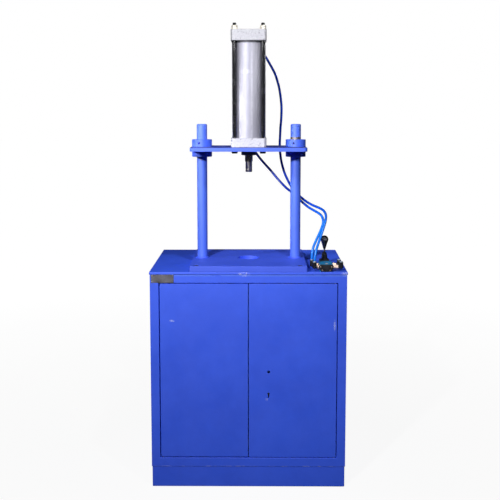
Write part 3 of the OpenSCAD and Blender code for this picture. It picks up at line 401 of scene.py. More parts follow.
def smooth_route(points):
    """Points on one smooth curve through a route's points, four to each stretch."""
    parts = 4
    knots = [Vector(p) * MM for p in points]
    ends = [2 * knots[0] - knots[1]] + knots + [2 * knots[-1] - knots[-2]]
    out = []
    for a, b, c, d in zip(ends, ends[1:], ends[2:], ends[3:]):
        for k in range(parts):
            t = k / parts
            out.append(0.5 * (2 * b + (c - a) * t + (2 * a - 5 * b + 4 * c - d) * t * t
                              + (3 * b - a - 3 * c + d) * t ** 3))
    return out + [knots[-1]]


def tube_mesh(path, radius):
    """A closed tube along a path; its side direction is carried along so that it never twists."""
    sides = 24
    bm = bmesh.new()
    side = None
    rings = []
    for i, point in enumerate(path):
        ahead = (path[min(i + 1, len(path) - 1)] - path[max(i - 1, 0)]).normalized()
        side = Vector((0, 1, 0.2)).cross(ahead) if side is None else side
        side = (side - side.dot(ahead) * ahead).normalized()
        up = ahead.cross(side)
        rings.append([bm.verts.new(point + radius * (math.cos(a) * side + math.sin(a) * up))
                      for a in (2 * math.pi * k / sides for k in range(sides))])
    for one, two in zip(rings, rings[1:]):
        for k in range(sides):
            n = (k + 1) % sides
            bm.faces.new((one[k], one[n], two[n], two[k]))
    bm.faces.new(rings[0])
    bm.faces.new(rings[-1])
    bmesh.ops.recalc_face_normals(bm, faces=bm.faces)
    return bm


def make_air_tube(name, route, look):
    """One air tube, which runs between the bridge and the bench, where the valve is."""
    path = smooth_route(route)
    tube = from_bmesh(name, tube_mesh(path, TUBE_D / 2), look)
    seat(tube, name, rides=False)
    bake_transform(tube)


# ---------------------------------------------------------------- repeated pieces

class Tree(Nodes):
    """A geometry node tree whose sizes are named inputs."""

    def __init__(self, name, **sizes):
        super().__init__(bpy.data.node_groups.new(name, "GeometryNodeTree"))
        self.socket("Places", "Geometry")
        self.socket("Finish", "Material")
        for key, value in sizes.items():
            kind = {bool: "Bool", int: "Int", float: "Float", tuple: "Vector"}[type(value)]
            self.socket(key, kind).default_value = value
        self.socket("Result", "Geometry", "OUTPUT")
        self.inputs = self.tree.nodes.new("NodeGroupInput").outputs

    def socket(self, name, kind, way="INPUT"):
        return self.tree.interface.new_socket(name, in_out=way, socket_type="NodeSocket" + kind)

    def __getitem__(self, name):
        return self.inputs[name]

    def bar(self, sides, foot, top, height, rings=1):
        """A round or many-sided bar that stands on the origin."""
        return self.add("GeometryNodeMeshCone", {
            "Vertices": sides, "Radius Bottom": foot, "Radius Top": top, "Depth": height,
            "Side Segments": rings})

    def raised(self, shape, height):
        shift = self.add("ShaderNodeCombineXYZ", {"Z": height})
        return self.add("GeometryNodeTransform", {"Geometry": shape, "Translation": shift})

    def solid(self, operation, **meshes):
        """Whole solids joined, cut or intersected."""
        return self.add("GeometryNodeMeshBoolean",
                        {key.replace("_", " "): value for key, value in meshes.items()},
                        operation=operation, solver="EXACT")

    def chosen(self, switch, without, with_it):
        """One of two shapes, by a switch."""
        return self.add("GeometryNodeSwitch", {"Switch": switch, "False": without,
                                               "True": with_it}, input_type="GEOMETRY")

    def parts(self):
        """X, Y and Z of each vertex."""
        place = self.add("GeometryNodeInputPosition")
        return [self.add("ShaderNodeSeparateXYZ", {0: place}, out=axis) for axis in "XYZ"]

    def reshaped(self, shape, x, y, scale, height):
        """The shape with each vertex scaled about the axis and set to a height."""
        place = self.add("ShaderNodeCombineXYZ", {
            "X": self.times(x, scale), "Y": self.times(y, scale), "Z": height})
        return self.add("GeometryNodeSetPosition", {"Geometry": shape, "Position": place})

    def place_all(self, shape, axis, turn=0.0, seed=0):
        """Puts the shape at every place, turned to the axis and by chance about it, and ends."""
        half = self.times(turn, 0.5)
        chance = self.add("FunctionNodeRandomValue", {
            "Min": self.times(half, -1.0), "Max": half, "Seed": seed}, data_type="FLOAT")
        spin = self.add("FunctionNodeAxisAngleToRotation", {"Angle": chance})
        tilt = self.add("FunctionNodeEulerToRotation", {"Euler": axis})
        both = self.add("FunctionNodeRotateRotation", {"Rotation": tilt, "Rotate By": spin},
                        rotation_space="LOCAL")
        all_of_them = self.add("GeometryNodeInstanceOnPoints", {
            "Points": self["Places"], "Instance": shape, "Rotation": both})
        real = self.add("GeometryNodeRealizeInstances", {"Geometry": all_of_them})
        done = self.add("GeometryNodeSetMaterial", {"Geometry": real, "Material": self["Finish"]})
        self.add("NodeGroupOutput", {"Result": done})
        return self.tree


def fastener_tree():
    """A bolt, screw, nut, rivet or washer: its head stands on each place, its shank below it."""
    t = Tree("fastener", Hexagon=True, HeadRadius=0.01, HeadHeight=0.01, TopRadius=0.009,
             FootRadius=0.009, Hole=True, HoleSides=48, HoleRadius=0.005, HoleDepth=0.02,
             Shank=False, ShankRadius=0.005, ShankLength=0.02, Axis=(0.0, 0.0, 0.0), Turn=0.5,
             Seed=1)
    height, wide = t["HeadHeight"], t["HeadRadius"]
    # A hexagon, trimmed by a wide cone from either side
    slope = 0.58
    spread = t.over(height, slope)
    hexagon = t.solid("INTERSECT", Mesh=[
        t.bar(6, wide, wide, height),
        t.bar(90, t.plus(t["TopRadius"], spread), t["TopRadius"], height),
        t.bar(90, t["FootRadius"], t.plus(t["FootRadius"], spread), height)])
    # A round head of four rings: its chamfers are as high as they are wide
    x, y, ring = t.parts()
    lower = t.calc("LESS_THAN", ring, 1.5)
    top, foot = t.minus(wide, t["TopRadius"]), t.minus(wide, t["FootRadius"])
    on_foot, on_top = t.calc("LESS_THAN", ring, 0.5), t.calc("GREATER_THAN", ring, 2.5)
    low_z = t.times(foot, t.minus(1.0, on_foot))
    high_z = t.minus(height, t.times(top, t.minus(1.0, on_top)))
    z = t.plus(t.times(low_z, lower), t.times(high_z, t.minus(1.0, lower)))
    drop = t.plus(t.times(foot, on_foot), t.times(top, on_top))
    drum = t.reshaped(t.bar(48, wide, wide, 3.0, 3), x, y, t.over(t.minus(wide, drop), wide), z)
    head = t.chosen(t["Hexagon"], drum, hexagon)
    hole = t.bar(t["HoleSides"], t["HoleRadius"], t["HoleRadius"], t.plus(t["HoleDepth"], 1 * MM))
    hole = t.raised(hole, t.minus(height, t["HoleDepth"]))
    head = t.chosen(t["Hole"], head, t.solid("DIFFERENCE", Mesh_1=head, Mesh_2=hole))
    shank = t.bar(36, t["ShankRadius"], t["ShankRadius"], t.plus(t["ShankLength"], 0.3 * MM))
    shank = t.raised(shank, t.times(t["ShankLength"], -1.0))
    whole = t.chosen(t["Shank"], head, t.solid("UNION", Mesh=[head, shank]))
    return t.place_all(whole, t["Axis"], t["Turn"], t["Seed"])


def threaded_bar_tree():
    """A round bar from each place, plain at first and threaded up to its chamfered end."""
    t = Tree("threaded_bar", Radius=0.005, PlainLength=0.1, ThreadLength=0.02, Pitch=0.0015,
             Depth=0.0006, Rings=90, Chamfer=0.0015, Axis=(0.0, 0.0, 0.0))
    bar = t.bar(40, t["Radius"], t["Radius"], t["Rings"], t["Rings"])
    x, y, ring = t.parts()
    share = t.over(t.most(t.minus(ring, 1.0), 0.0), t.minus(t["Rings"], 1.0))
    along = t.times(share, t["ThreadLength"])
    height = t.times(t.plus(along, t["PlainLength"]), t.calc("GREATER_THAN", ring, 0.5))
    turn = t.over(t.calc("ARCTAN2", y, x), 2 * math.pi)
    wave = t.calc("PINGPONG", t.minus(t.over(along, t["Pitch"]), turn), 0.5)
    groove = t.times(t.times(wave, 2.0), t["Depth"])
    groove = t.times(groove, t.calc("GREATER_THAN", ring, 1.5))
    left = t.minus(t["ThreadLength"], along)
    cut = t.most(t.minus(t["Chamfer"], left), groove)
    bar = t.reshaped(bar, x, y, t.over(t.minus(t["Radius"], cut), t["Radius"]), height)
    return t.place_all(bar, t["Axis"])


def weld_tree():
    """A weld bead that runs round a foot in many small overlapping ripples."""
    t = Tree("weld", Radius=0.018, Bead=0.004, Ripples=46, Height=0.0005, Axis=(0.0, 0.0, 0.0))
    path = t.add("GeometryNodeCurvePrimitiveCircle", {
        "Resolution": t.times(t["Ripples"], 4.0), "Radius": t["Radius"]})
    section = t.add("GeometryNodeCurvePrimitiveCircle", {"Resolution": 14, "Radius": t["Bead"]})
    bead = t.add("GeometryNodeCurveToMesh", {"Curve": path, "Profile Curve": section})
    x, y, z = t.parts()
    turn = t.over(t.calc("ARCTAN2", y, x), 2 * math.pi)
    # Each ripple swells as the bead goes on, then steps back; it leans as it rises
    ripples_per_metre_up = 120.0
    lean = t.times(z, ripples_per_metre_up)
    step = t.calc("FRACT", t.plus(t.times(turn, t["Ripples"]), lean))
    uneven = t.add("ShaderNodeTexNoise", {"Scale": 260.0, "Detail": 2.0})
    swell = t.times(t.plus(step, t.minus(uneven, 0.6)), t["Height"])
    shift = t.add("ShaderNodeVectorMath", {0: t.add("GeometryNodeInputNormal"), "Scale": swell},
                  operation="SCALE")
    bead = t.add("GeometryNodeSetPosition", {"Geometry": bead, "Offset": shift})
    return t.place_all(bead, t["Axis"])


def grown(name, tree, places, look, **sizes):
    """What a tree makes at the places, as a plain mesh."""
    mesh = bpy.data.meshes.new(name)
    mesh.from_pydata([tuple(p) for p in places], [], [])
    piece = link_piece(name, mesh, look)
    growth = piece.modifiers.new("growth", "NODES")
    growth.node_group = tree
    ids = {s.name: s.identifier for s in tree.interface.items_tree if s.in_out == "INPUT"}
    growth[ids["Finish"]] = look
    for key, value in sizes.items():
        growth[ids[key]] = value
    baked(piece)
    piece.data.materials.clear()
    piece.data.materials.append(look)
    for face in piece.data.polygons:
        face.material_index = 0
        face.use_smooth = True
    return piece


def eased(piece, width):
    """A small round on every sharp edge."""
    bevel = piece.modifiers.new("easing", "BEVEL")
    bevel.limit_method = "ANGLE"
    bevel.angle_limit = SHARP
    bevel.width = width
    bevel.segments = 2
    return level_normals(piece)


def islands(node):
    """The box of each separate solid of a node."""
    bm = merged_copy(node)
    left = set(bm.verts)
    boxes = []
    while left:
        reached = [left.pop()]
        for vert in reached:
            for e in vert.link_edges:
                other = e.other_vert(vert)
                if other in left:
                    left.remove(other)
                    reached.append(other)
        boxes.append(tuple(Vector(pick(v.co[i] for v in reached) for i in range(3))
                           for pick in (min, max)))
    bm.free()
    return sorted(boxes, key=lambda box: tuple(round(c, 4) for c in box[0]))


# ---------------------------------------------------------------- materials

class Finish(Nodes):
    """A material's node tree, with short calls for the nodes that the finishes share."""

    def __init__(self, name):
        self.material = bpy.data.materials.new(name)
        self.material.use_nodes = True
        super().__init__(self.material.node_tree)
        self.place = self.add("ShaderNodeTexCoord", out="Object")
        self.shader = self.tree.nodes.new("ShaderNodeBsdfPrincipled")
        self.add("ShaderNodeOutputMaterial", {"Surface": self.shader.outputs[0]})

    def set(self, **values):
        """Sets the shader's sockets; an underscore stands for a space."""
        for key, value in values.items():
            self.put(self.shader.inputs[key.replace("_", " ")], value)

    def stretched(self, scale, shift):
        return self.add("ShaderNodeMapping", {"Vector": self.place, "Scale": scale,
                                              "Location": shift})

    def noise(self, scale, detail=3, rough=0.5, stretch=(1, 1, 1), shift=(0, 0, 0), warp=0.0):
        """Soft noise; scale is in waves a metre."""
        return self.add("ShaderNodeTexNoise", {
            "Vector": self.stretched(stretch, shift), "Scale": scale, "Detail": detail,
            "Roughness": rough, "Distortion": warp}, out="Fac")

    def axis(self, letter):
        """X, Y or Z of the place, in metres."""
        return self.add("ShaderNodeSeparateXYZ", {0: self.place}, out=letter)

    def spot(self, centre, size):
        """1 in the inner third of an ellipsoid of that size, falling to 0 at its edge."""
        scale = tuple(1 / s for s in size)
        shift = tuple(-c * k for c, k in zip(centre, scale))
        away = self.add("ShaderNodeVectorMath", {0: self.stretched(scale, shift)}, out="Value",
                        operation="LENGTH")
        return self.between(away, 1.0, 0.35)

    def edges(self, radius):
        """1 on a sharp edge, 0 on a flat: where the rounded normal leaves the true one."""
        soft = self.add("ShaderNodeBevel", {"Radius": radius}, samples=4)
        true = self.add("ShaderNodeNewGeometry", out="Normal")
        dot = self.add("ShaderNodeVectorMath", {0: soft, 1: true}, out="Value",
                       operation="DOT_PRODUCT")
        return self.between(dot, 0.97, 0.80)

    def bump(self, *heights):
        """Bump from pairs of a height and the depth that it stands for, in metres."""
        below = {}
        for height, depth in heights:
            normal = self.add("ShaderNodeBump", {"Distance": depth, "Height": height, **below})
            below = {"Normal": normal}
        self.set(**below)


def enamel(name, deep, light, gloss, shine, scuffs=(), bare=(), bands=()):
    """Blue brushed-on enamel over sheet steel, with dust, a few scuffs and a painted highlight on
    its thin edges.

    Bare spots show steel. A band is a line round the piece: its low and high edge, its tone, how
    strong it is, and how much of it is broken away.
    """
    f = Finish(name)
    tone = f.plus(f.times(f.noise(2.6, 3, 0.6), 0.75), f.times(f.noise(34, 3, 0.6), 0.25))
    colour = f.mix(f.between(tone, 0.3, 0.7), deep, light)
    dust = f.between(f.noise(420, 2, 0.7), 0.66, 0.78)
    colour = f.mix(f.times(dust, 0.10), colour, (0.55, 0.60, 0.80))
    # Edges turn paler, partly where the paint is thin and partly as a painted highlight
    painted_highlight = f.times(f.edges(1.6 * MM), f.between(f.noise(95, 4, 0.65), 0.42, 0.62))
    colour = f.mix(f.times(painted_highlight, 0.55), colour, (0.34, 0.42, 0.80))
    scratch = f.noise(260, 4, 0.75, warp=1.5)
    worn = [f.times(f.spot(*patch), f.between(scratch, 0.49, 0.58)) for patch in scuffs]
    if worn:
        colour = f.mix(f.times(reduce(f.most, worn), 0.90), colour, (0.80, 0.84, 0.98))
    broken = f.noise(38, 4, 0.7, stretch=(1, 1, 3))
    for low, high, tone, share, least in bands:
        level = f.times(f.between(f.axis("Z"), low - 0.4 * MM, low + 0.1 * MM),
                        f.between(f.axis("Z"), high + 0.4 * MM, high - 0.1 * MM))
        level = f.times(level, f.between(broken, least, least + 0.10))
        colour = f.mix(f.times(level, share), colour, tone)
    roughness = f.between(f.noise(14, 3, 0.6), 0.25, 0.75, gloss - 0.05, gloss + 0.08)
    ragged = f.times(f.noise(160, 3, 0.6), 0.35)
    metal = [f.between(f.plus(f.spot(*patch), ragged), 0.52, 0.62) for patch in bare]
    if metal:
        metal = reduce(f.most, metal)
        steel = f.mix(f.noise(900, 2, stretch=(0.15, 0.15, 1)), (0.24, 0.21, 0.19),
                      (0.44, 0.40, 0.36))
        colour = f.mix(metal, colour, steel)
        f.set(Metallic=metal)
    f.set(Base_Color=colour, Roughness=roughness, Specular_IOR_Level=shine)
    f.bump((f.noise(5.5, 2, 0.4), 1.2 * MM), (f.noise(520, 2), 0.035 * MM))
    return f.material


def cast_alloy(name, pale):
    """Silver-painted casting: pale, with a grainy skin and grey pores, painted shade on its edges
    and a painted shadow under the bridge.
    """
    f = Finish(name)
    grain = f.noise(210, 5, 0.75)
    pore = f.between(f.noise(150, 3, 0.75, shift=(3, 1, 2)), 0.60, 0.67)
    blotch = f.between(f.noise(60, 4, 0.7, shift=(1, 5, 2)), 0.54, 0.72)
    # Rounded edges darkened near black: painted shade where they turn away from the lamps
    painted_edge_shade = f.times(f.edges(3.5 * MM), f.between(f.noise(120, 4, 0.7), 0.32, 0.52))
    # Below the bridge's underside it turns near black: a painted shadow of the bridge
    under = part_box("bridge_plate")[0].z
    painted_bridge_shadow = f.between(f.axis("Z"), under + 2 * MM, under)
    skin = [tuple(c * pale for c in tone) for tone in ((0.50, 0.50, 0.56), (0.64, 0.64, 0.70))]
    colour = f.mix(f.between(grain, 0.35, 0.65), *skin)
    for mask, share, tone in ((pore, 0.85, (0.16, 0.15, 0.20)), (blotch, 0.30, (0.40, 0.39, 0.46)),
                              (painted_edge_shade, 0.85, (0.10, 0.095, 0.13)), (painted_bridge_shadow, 0.85, (0.02, 0.02, 0.03))):
        colour = f.mix(f.times(mask, share), colour, tone)
    f.set(Base_Color=colour, Metallic=0.25, Roughness=f.between(grain, 0.3, 0.7, 0.42, 0.60))
    f.bump((grain, 0.25 * MM), (f.noise(900, 3, 0.6), 0.05 * MM))
    return f.material


def drawn_alloy():
    """Drawn tube: bright, with clouds of handling, streaks along it, a painted highlight and
    painted shade down its length and a painted shadow under its cap.
    """
    f = Finish("drawn_alloy")
    streak = f.noise(40, 4, 0.6, stretch=(7, 7, 0.35))
    cloud = f.noise(11, 4, 0.6, shift=(2, 3, 1))
    low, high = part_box("barrel")
    tall = (high.z - low.z) / MM
    colour = f.mix(f.between(streak, 0.3, 0.7), (0.40, 0.395, 0.475), (0.485, 0.48, 0.56))
    colour = f.mix(f.between(cloud, 0.45, 0.75, 0.0, 0.5), colour, (0.55, 0.545, 0.625))
    ragged = f.times(f.minus(f.noise(60, 4, 0.7), 0.5), 1.6)
    # Patches: how far right of the middle and how high, their size, and their tone; in mm. The
    # first two run the whole height: a darker band, painted shade, and a thin pale line, a painted
    # highlight
    for right, up, size, tone in (
            (-2, 0.5 * tall, (11, 20, tall), (0.33, 0.33, 0.41)),
            (10, 0.5 * tall, (4, 20, tall), (0.72, 0.72, 0.80)),
            (-12, 208, (26, 30, 12), (0.56, 0.56, 0.64)),
            (-10, 240, (18, 30, 30), (0.38, 0.38, 0.46)),
            (-24, 100, (15, 30, 70), (0.68, 0.68, 0.76))):
        place = (middle("barrel").x + right * MM, low.y, low.z + up * MM)
        patch = f.plus(f.spot(place, mm(*size)), ragged)
        colour = f.mix(f.between(patch, 0.25, 1.1, 0.0, 0.55), colour, tone)
    # A dark ragged line just below the top cap: a painted shadow of the cap
    painted_cap_shadow = f.between(f.plus(f.axis("Z"), f.times(ragged, 5 * MM)), high.z - 9 * MM,
                          high.z - 4 * MM)
    colour = f.mix(f.times(painted_cap_shadow, 0.9), colour, (0.04, 0.04, 0.05))
    f.set(Base_Color=colour, Metallic=0.9, Coat_Weight=0.25, Coat_Roughness=0.20,
          Roughness=f.between(cloud, 0.3, 0.7, 0.56, 0.66))
    f.bump((streak, 0.02 * MM))
    return f.material


def plain_metal(name, dark, pale, roughness, grain=(1, 1, 1), depth=0.03 * MM, metallic=1.0,
                shine=0.5):
    """A plated, blackened or machined metal with its own tone and grain."""
    f = Finish(name)
    tone = f.noise(160, 4, 0.6, stretch=grain)
    smear = f.noise(28, 3, 0.6, shift=(4, 4, 1))
    colour = f.mix(f.between(tone, 0.3, 0.7), dark, pale)
    worn = f.times(f.edges(0.5 * MM), 0.5)
    colour = f.mix(worn, colour, tuple(min(1.0, c * 1.6 + 0.04) for c in pale))
    f.set(Base_Color=colour, Metallic=metallic, Specular_IOR_Level=shine,
          Roughness=f.between(smear, 0.3, 0.7, roughness - 0.06, roughness + 0.10))
    f.bump((tone, depth))
    return f.material


def moulded(name, dark, pale, roughness, coat=0.0, painted_highlight=None):
    """Moulded plastic or rubber with a fine skin; it may have a grey spot at one place, a painted
    highlight.
    """
    f = Finish(name)
    colour = f.mix(f.between(f.noise(45, 3, 0.6), 0.3, 0.7), dark, pale)
    if painted_highlight:
        # A grey spot: painted highlight
        colour = f.mix(f.times(f.spot(*painted_highlight), 0.9), colour, (0.44, 0.45, 0.50))
    f.set(Base_Color=colour, Coat_Weight=coat, Coat_Roughness=0.16, Roughness=f.between(
        f.noise(120, 3, 0.6), 0.3, 0.7, roughness - 0.05, roughness + 0.08))
    f.bump((f.noise(700, 2), 0.02 * MM))
    return f.material


def teal_enamel(name):
    """The valve's enamel, with a plain pale dot on top."""
    f = Finish(name)
    colour = f.mix(f.between(f.noise(60, 3, 0.6), 0.3, 0.7), (0.011, 0.20, 0.44),
                   (0.017, 0.27, 0.56))
    low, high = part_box("valve_body")
    dot = f.between(f.spot((middle("valve_body").x + 3 * MM, low.y + 17 * MM, high.z),
                           mm(5, 7, 2)), 0.0, 0.08)
    colour = f.mix(dot, colour, (0.78, 0.62, 0.66))
    f.set(Base_Color=colour, Roughness=f.between(f.noise(40, 2), 0.3, 0.7, 0.28, 0.38))
    f.bump((f.noise(500, 2), 0.03 * MM))
    return f.material


def tube_plastic(name):
    """Blue polyurethane tube, deep blue above and painted brighter in its bend over the valve, as
    painted light.
    """
    f = Finish(name)
    colour = f.mix(f.between(f.noise(25, 2), 0.3, 0.7), (0.002, 0.030, 0.42), (0.003, 0.045, 0.52))
    # From 0.9 m down to 0.8 m it turns bright blue: painted light
    colour = f.mix(f.between(f.axis("Z"), 0.90, 0.80), colour, (0.012, 0.20, 0.86))
    f.set(Base_Color=colour, Roughness=f.between(f.noise(90, 2), 0.3, 0.7, 0.20, 0.30), IOR=1.5,
          Specular_IOR_Level=0.35)
    f.bump((f.noise(300, 2), 0.01 * MM))
    return f.material


# Plain metals: the dark and the pale tone of their grain, roughness, and what differs otherwise
METALS = {
    "black_steel": ((0.010, 0.010, 0.013), (0.022, 0.022, 0.027), 0.38,
                    dict(metallic=0.0, shine=0.35)),
    "rod_black": ((0.006, 0.006, 0.008), (0.012, 0.012, 0.015), 0.20,
                  dict(metallic=0.0, shine=0.9)),
    "zinc_steel": ((0.50, 0.50, 0.53), (0.66, 0.66, 0.69), 0.30, {}),
    "bare_steel": ((0.22, 0.21, 0.25), (0.32, 0.31, 0.36), 0.46, dict(grain=(1, 1, 9))),
    "hard_chrome": ((0.62, 0.61, 0.60), (0.74, 0.73, 0.72), 0.36, dict(depth=0.008 * MM)),
    # The piston rod's chrome is darker than the lever's hard chrome: painted shade
    "rod_chrome": ((0.30, 0.29, 0.29), (0.44, 0.42, 0.42), 0.24, dict(depth=0.01 * MM)),
    "brass": ((0.40, 0.29, 0.23), (0.56, 0.42, 0.34), 0.34, dict(metallic=0.8)),
    "nut_brass": ((0.90, 0.84, 0.70), (1.0, 0.97, 0.88), 0.38, dict(metallic=0.35)),
    "bronze": ((0.42, 0.24, 0.10), (0.56, 0.34, 0.16), 0.34, {}),
}
# Plastics and rubber, in the same way
MOULDED = {
    "black_rubber": ((0.005, 0.005, 0.006), (0.011, 0.011, 0.012), 0.45, {}),
    "black_plastic": ((0.008, 0.008, 0.009), (0.015, 0.015, 0.017), 0.30, dict(coat=0.4)),
    "grey_plastic": ((0.34, 0.42, 0.54), (0.46, 0.54, 0.66), 0.35, {}),
}


def make_looks():
    """Every finish, by its name."""
    looks = {name: plain_metal(name, *row, **more) for name, (*row, more) in METALS.items()}
    looks.update({name: moulded(name, *row, **more) for name, (*row, more) in MOULDED.items()})
    looks["cast_alloy"] = cast_alloy("cast_alloy", 0.90)
    # The top cap's copy is darker: painted shade that offsets the stronger lamp light near the top
    looks["worn_alloy"] = cast_alloy("worn_alloy", 0.80)
    looks["drawn_alloy"] = drawn_alloy()
    looks["teal_paint"] = teal_enamel("teal_paint")
    looks["blue_tube"] = tube_plastic("blue_tube")
    # The cabinet: scuffed edges, a dark joint and a pale line under the top, one on the plinth
    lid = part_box("cabinet_top")
    under, front = lid[0].z, lid[0].y
    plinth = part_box("plinth")[1].z
    looks["cabinet_paint"] = enamel(
        "cabinet_paint", (0.027, 0.094, 0.80), (0.035, 0.118, 0.93), 0.56, 0.8,
        scuffs=[((-0.013, front, under + 1 * MM), mm(24, 9, 9)),
                ((lid[1].x - 9 * MM, front, under + 2 * MM), mm(15, 9, 9)),
                ((0.266, front, 0.518), mm(4, 9, 22)),
                ((-0.236, front, 0.531), mm(12, 9, 5)),
                ((0.057, front, 0.282), mm(6, 9, 6))],
        bands=[(under - 0.6 * MM, under + 0.8 * MM, (0.004, 0.010, 0.20), 0.75, 0.1),
               (under - 4.5 * MM, under - 1.2 * MM, (0.12, 0.26, 0.98), 0.55, 0.36),
               (plinth - 0.5 * MM, plinth + 1.8 * MM, (0.40, 0.46, 0.86), 0.55, 0.52)])
    looks["plate_enamel"] = enamel("plate_enamel", (0.034, 0.090, 0.74), (0.044, 0.112, 0.84),
                                   0.56, 0.9)
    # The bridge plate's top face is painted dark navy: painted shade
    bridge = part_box("bridge_plate")[1].z
    looks["frame_paint"] = enamel(
        "frame_paint", (0.040, 0.108, 0.74), (0.054, 0.140, 0.85), 0.50, 0.9,
        bands=[(bridge - 0.3 * MM, bridge + 0.2 * MM, (0.008, 0.012, 0.20), 0.75, 0.1)])
    # The columns: bare above the right clamp collar and at one chip under the left guide
    column = middle("right_column")
    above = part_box("right_clamp_collar")[1].z + 4 * MM
    chip = (-column.x - 3 * MM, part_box("left_column")[0].y,
            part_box("left_guide_collar")[0].z - 9 * MM)
    looks["column_enamel"] = enamel(
        "column_enamel", (0.064, 0.146, 0.78), (0.082, 0.178, 0.88), 0.50, 0.9,
        bare=[((column.x, column.y, above), mm(30, 30, 9)), (chip, mm(4, 6, 4))])
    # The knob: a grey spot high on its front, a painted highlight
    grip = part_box("lever_knob")
    painted_highlight = (middle("lever_knob").x + 2 * MM, grip[0].y, grip[1].z - 11 * MM)
    looks["knob_plastic"] = moulded("knob_plastic", (0.006, 0.006, 0.007), (0.011, 0.011, 0.013),
                                    0.24, coat=1.0, painted_highlight=(painted_highlight, mm(6.5, 9, 5)))
    return looks


# ---------------------------------------------------------------- the press

# Copies with rounded edges: finish, radius of the folds and of the other edges in mm, and nodes
ROUNDED = [
    ("cabinet_paint", 2.0, 0.5, "plinth"),
    ("cabinet_paint", 0.5, 0.5, "floor_panel"),
    ("cabinet_paint", 1.6, 0.5, "left_side_panel right_side_panel back_panel"),
    ("cabinet_paint", 1.4, 0.4, "front_frame"),
    ("cabinet_paint", 2.2, 0.5, "cabinet_top"),
    ("cabinet_paint", 2.2, 0.4, "left_door right_door"),
    ("cabinet_paint", 2.0, 0.5, "left_bearer right_bearer"),
    ("zinc_steel", 1.2, 0.3, "lock_case"),
    ("brass", 0.5, 0.4, "lock_bolt"),
    ("bare_steel", 0.25, 0.2, "nameplate"),
    ("plate_enamel", 1.2, 0.5, "base_plate"),
    ("frame_paint", 0.8, 0.8, "bridge_plate"),
    ("frame_paint", 0.8, 0.4, "left_clamp_collar right_clamp_collar"),
    ("frame_paint", 0.8, 0.4, "left_guide_collar right_guide_collar"),
    ("worn_alloy", 0.9, 0.9, "top_cap"),
    ("cast_alloy", 0.9, 0.9, "bottom_cap"),
    ("black_plastic", 0.6, 0.4, "upper_port_elbow lower_port_fitting"),
    ("teal_paint", 1.0, 0.3, "valve_body"),
    ("black_steel", 1.2, 0.3, "valve_end_plate lever_housing"),
    ("hard_chrome", 0.3, 0.2, "lever"),
    ("black_plastic", 0.5, 0.3, "valve_elbows"),
    ("brass", 0.5, 0.3, "valve_nipples"),
    ("grey_plastic", 0.3, 0.25, "valve_collets"),
]


def make_rounded_pieces(looks):
    """The sheets, plates, blocks and fittings, each as its own node with rounded edges."""
    for look, fold, edge, nodes in ROUNDED:
        for node in nodes.split():
            seat(rounded_copy(node, looks[look], fold * MM, edge * MM), node)


def make_columns(looks):
    """Solid round columns with a turned chamfer at the top."""
    chamfer = 2.5 * MM
    for node in ("left_column", "right_column"):
        r, h, foot = upright(node)
        profile = [(0, 0), (r, 0), (r, h - chamfer), (r - chamfer, h), (0, h)]
        seat(turned(node + "_finished", soft_profile(profile, 0.8 * MM), foot,
                    looks["column_enamel"]), node)


def make_barrel(looks):
    """The cylinder's tube."""
    r, h, foot = upright("barrel")
    wall = 3.5 * MM
    profile = soft_profile([(r - wall, 0), (r, 0), (r, h), (r - wall, h)], 0.4 * MM)
    seat(turned("barrel_finished", profile, foot, looks["drawn_alloy"], 160), "barrel")


def make_knob(looks):
    """The lever's knob: a ball that runs down into a slim neck."""
    r, h, foot = upright("lever_knob")
    neck, bore, bore_h, hollow = 4 * MM, 2.5 * MM, 15 * MM, 0.5 * MM
    neck_steps, ball_steps = 12, 24
    ball = h - r
    # The ball begins at a shoulder a little below its middle
    drop = 0.32
    turn = math.asin(drop)
    shoulder_r, shoulder_z = r * math.cos(turn), ball - r * drop
    profile = [(bore, 0), (neck, 0), (neck + 0.3 * MM, 1.2 * MM)]
    for k in range(1, neck_steps):
        t = k / neck_steps
        curve_in = hollow * math.sin(math.pi * t)
        profile.append((neck + (shoulder_r - neck) * t - curve_in, shoulder_z * t))
    for k in range(ball_steps + 1):
        a = -turn + (math.pi / 2 + turn) * k / ball_steps
        profile.append((r * math.cos(a), ball + r * math.sin(a)))
    profile += [(0, bore_h), (bore, bore_h)]
    seat(turned("lever_knob_finished", profile, foot, looks["knob_plastic"], 64), "lever_knob")


def make_boot(looks):
    """The rubber boot: four soft ribs, each narrower than the last, up to the lever."""
    base, height, foot = upright("lever_boot")
    wall, flange, neck, bore, ribs = 1.5 * MM, 2.5 * MM, 4.5 * MM, 2.6 * MM, 4
    widest = 0.80 * base
    outer = [(base, 0), (base, flange)]
    rise = (height - flange) / ribs
    for k in range(ribs):
        # Each rib is widest near its foot and draws in towards the next
        wide, tight = (widest - (widest - neck) * (up / ribs) ** 3 for up in (k, k + 0.75))
        z = flange + k * rise
        outer += [(wide - 0.6 * MM, z + 0.12 * rise), (wide, z + 0.38 * rise),
                  (wide - 0.5 * MM, z + 0.62 * rise), (tight - 0.6 * MM, z + 0.92 * rise)]
    outer += [(neck, height)]
    inner = [(bore, height), (bore, height - 3 * MM), (0.55 * base, flange + 2.4 * rise),
             (0.70 * base, flange), (base - wall, 0)]
    profile = soft_profile(outer + inner, 0.5 * MM)
    boot = turned("lever_boot_finished", profile, foot, looks["black_rubber"], 64)
    seat(boot, "lever_boot", rides=False)
    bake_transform(boot)


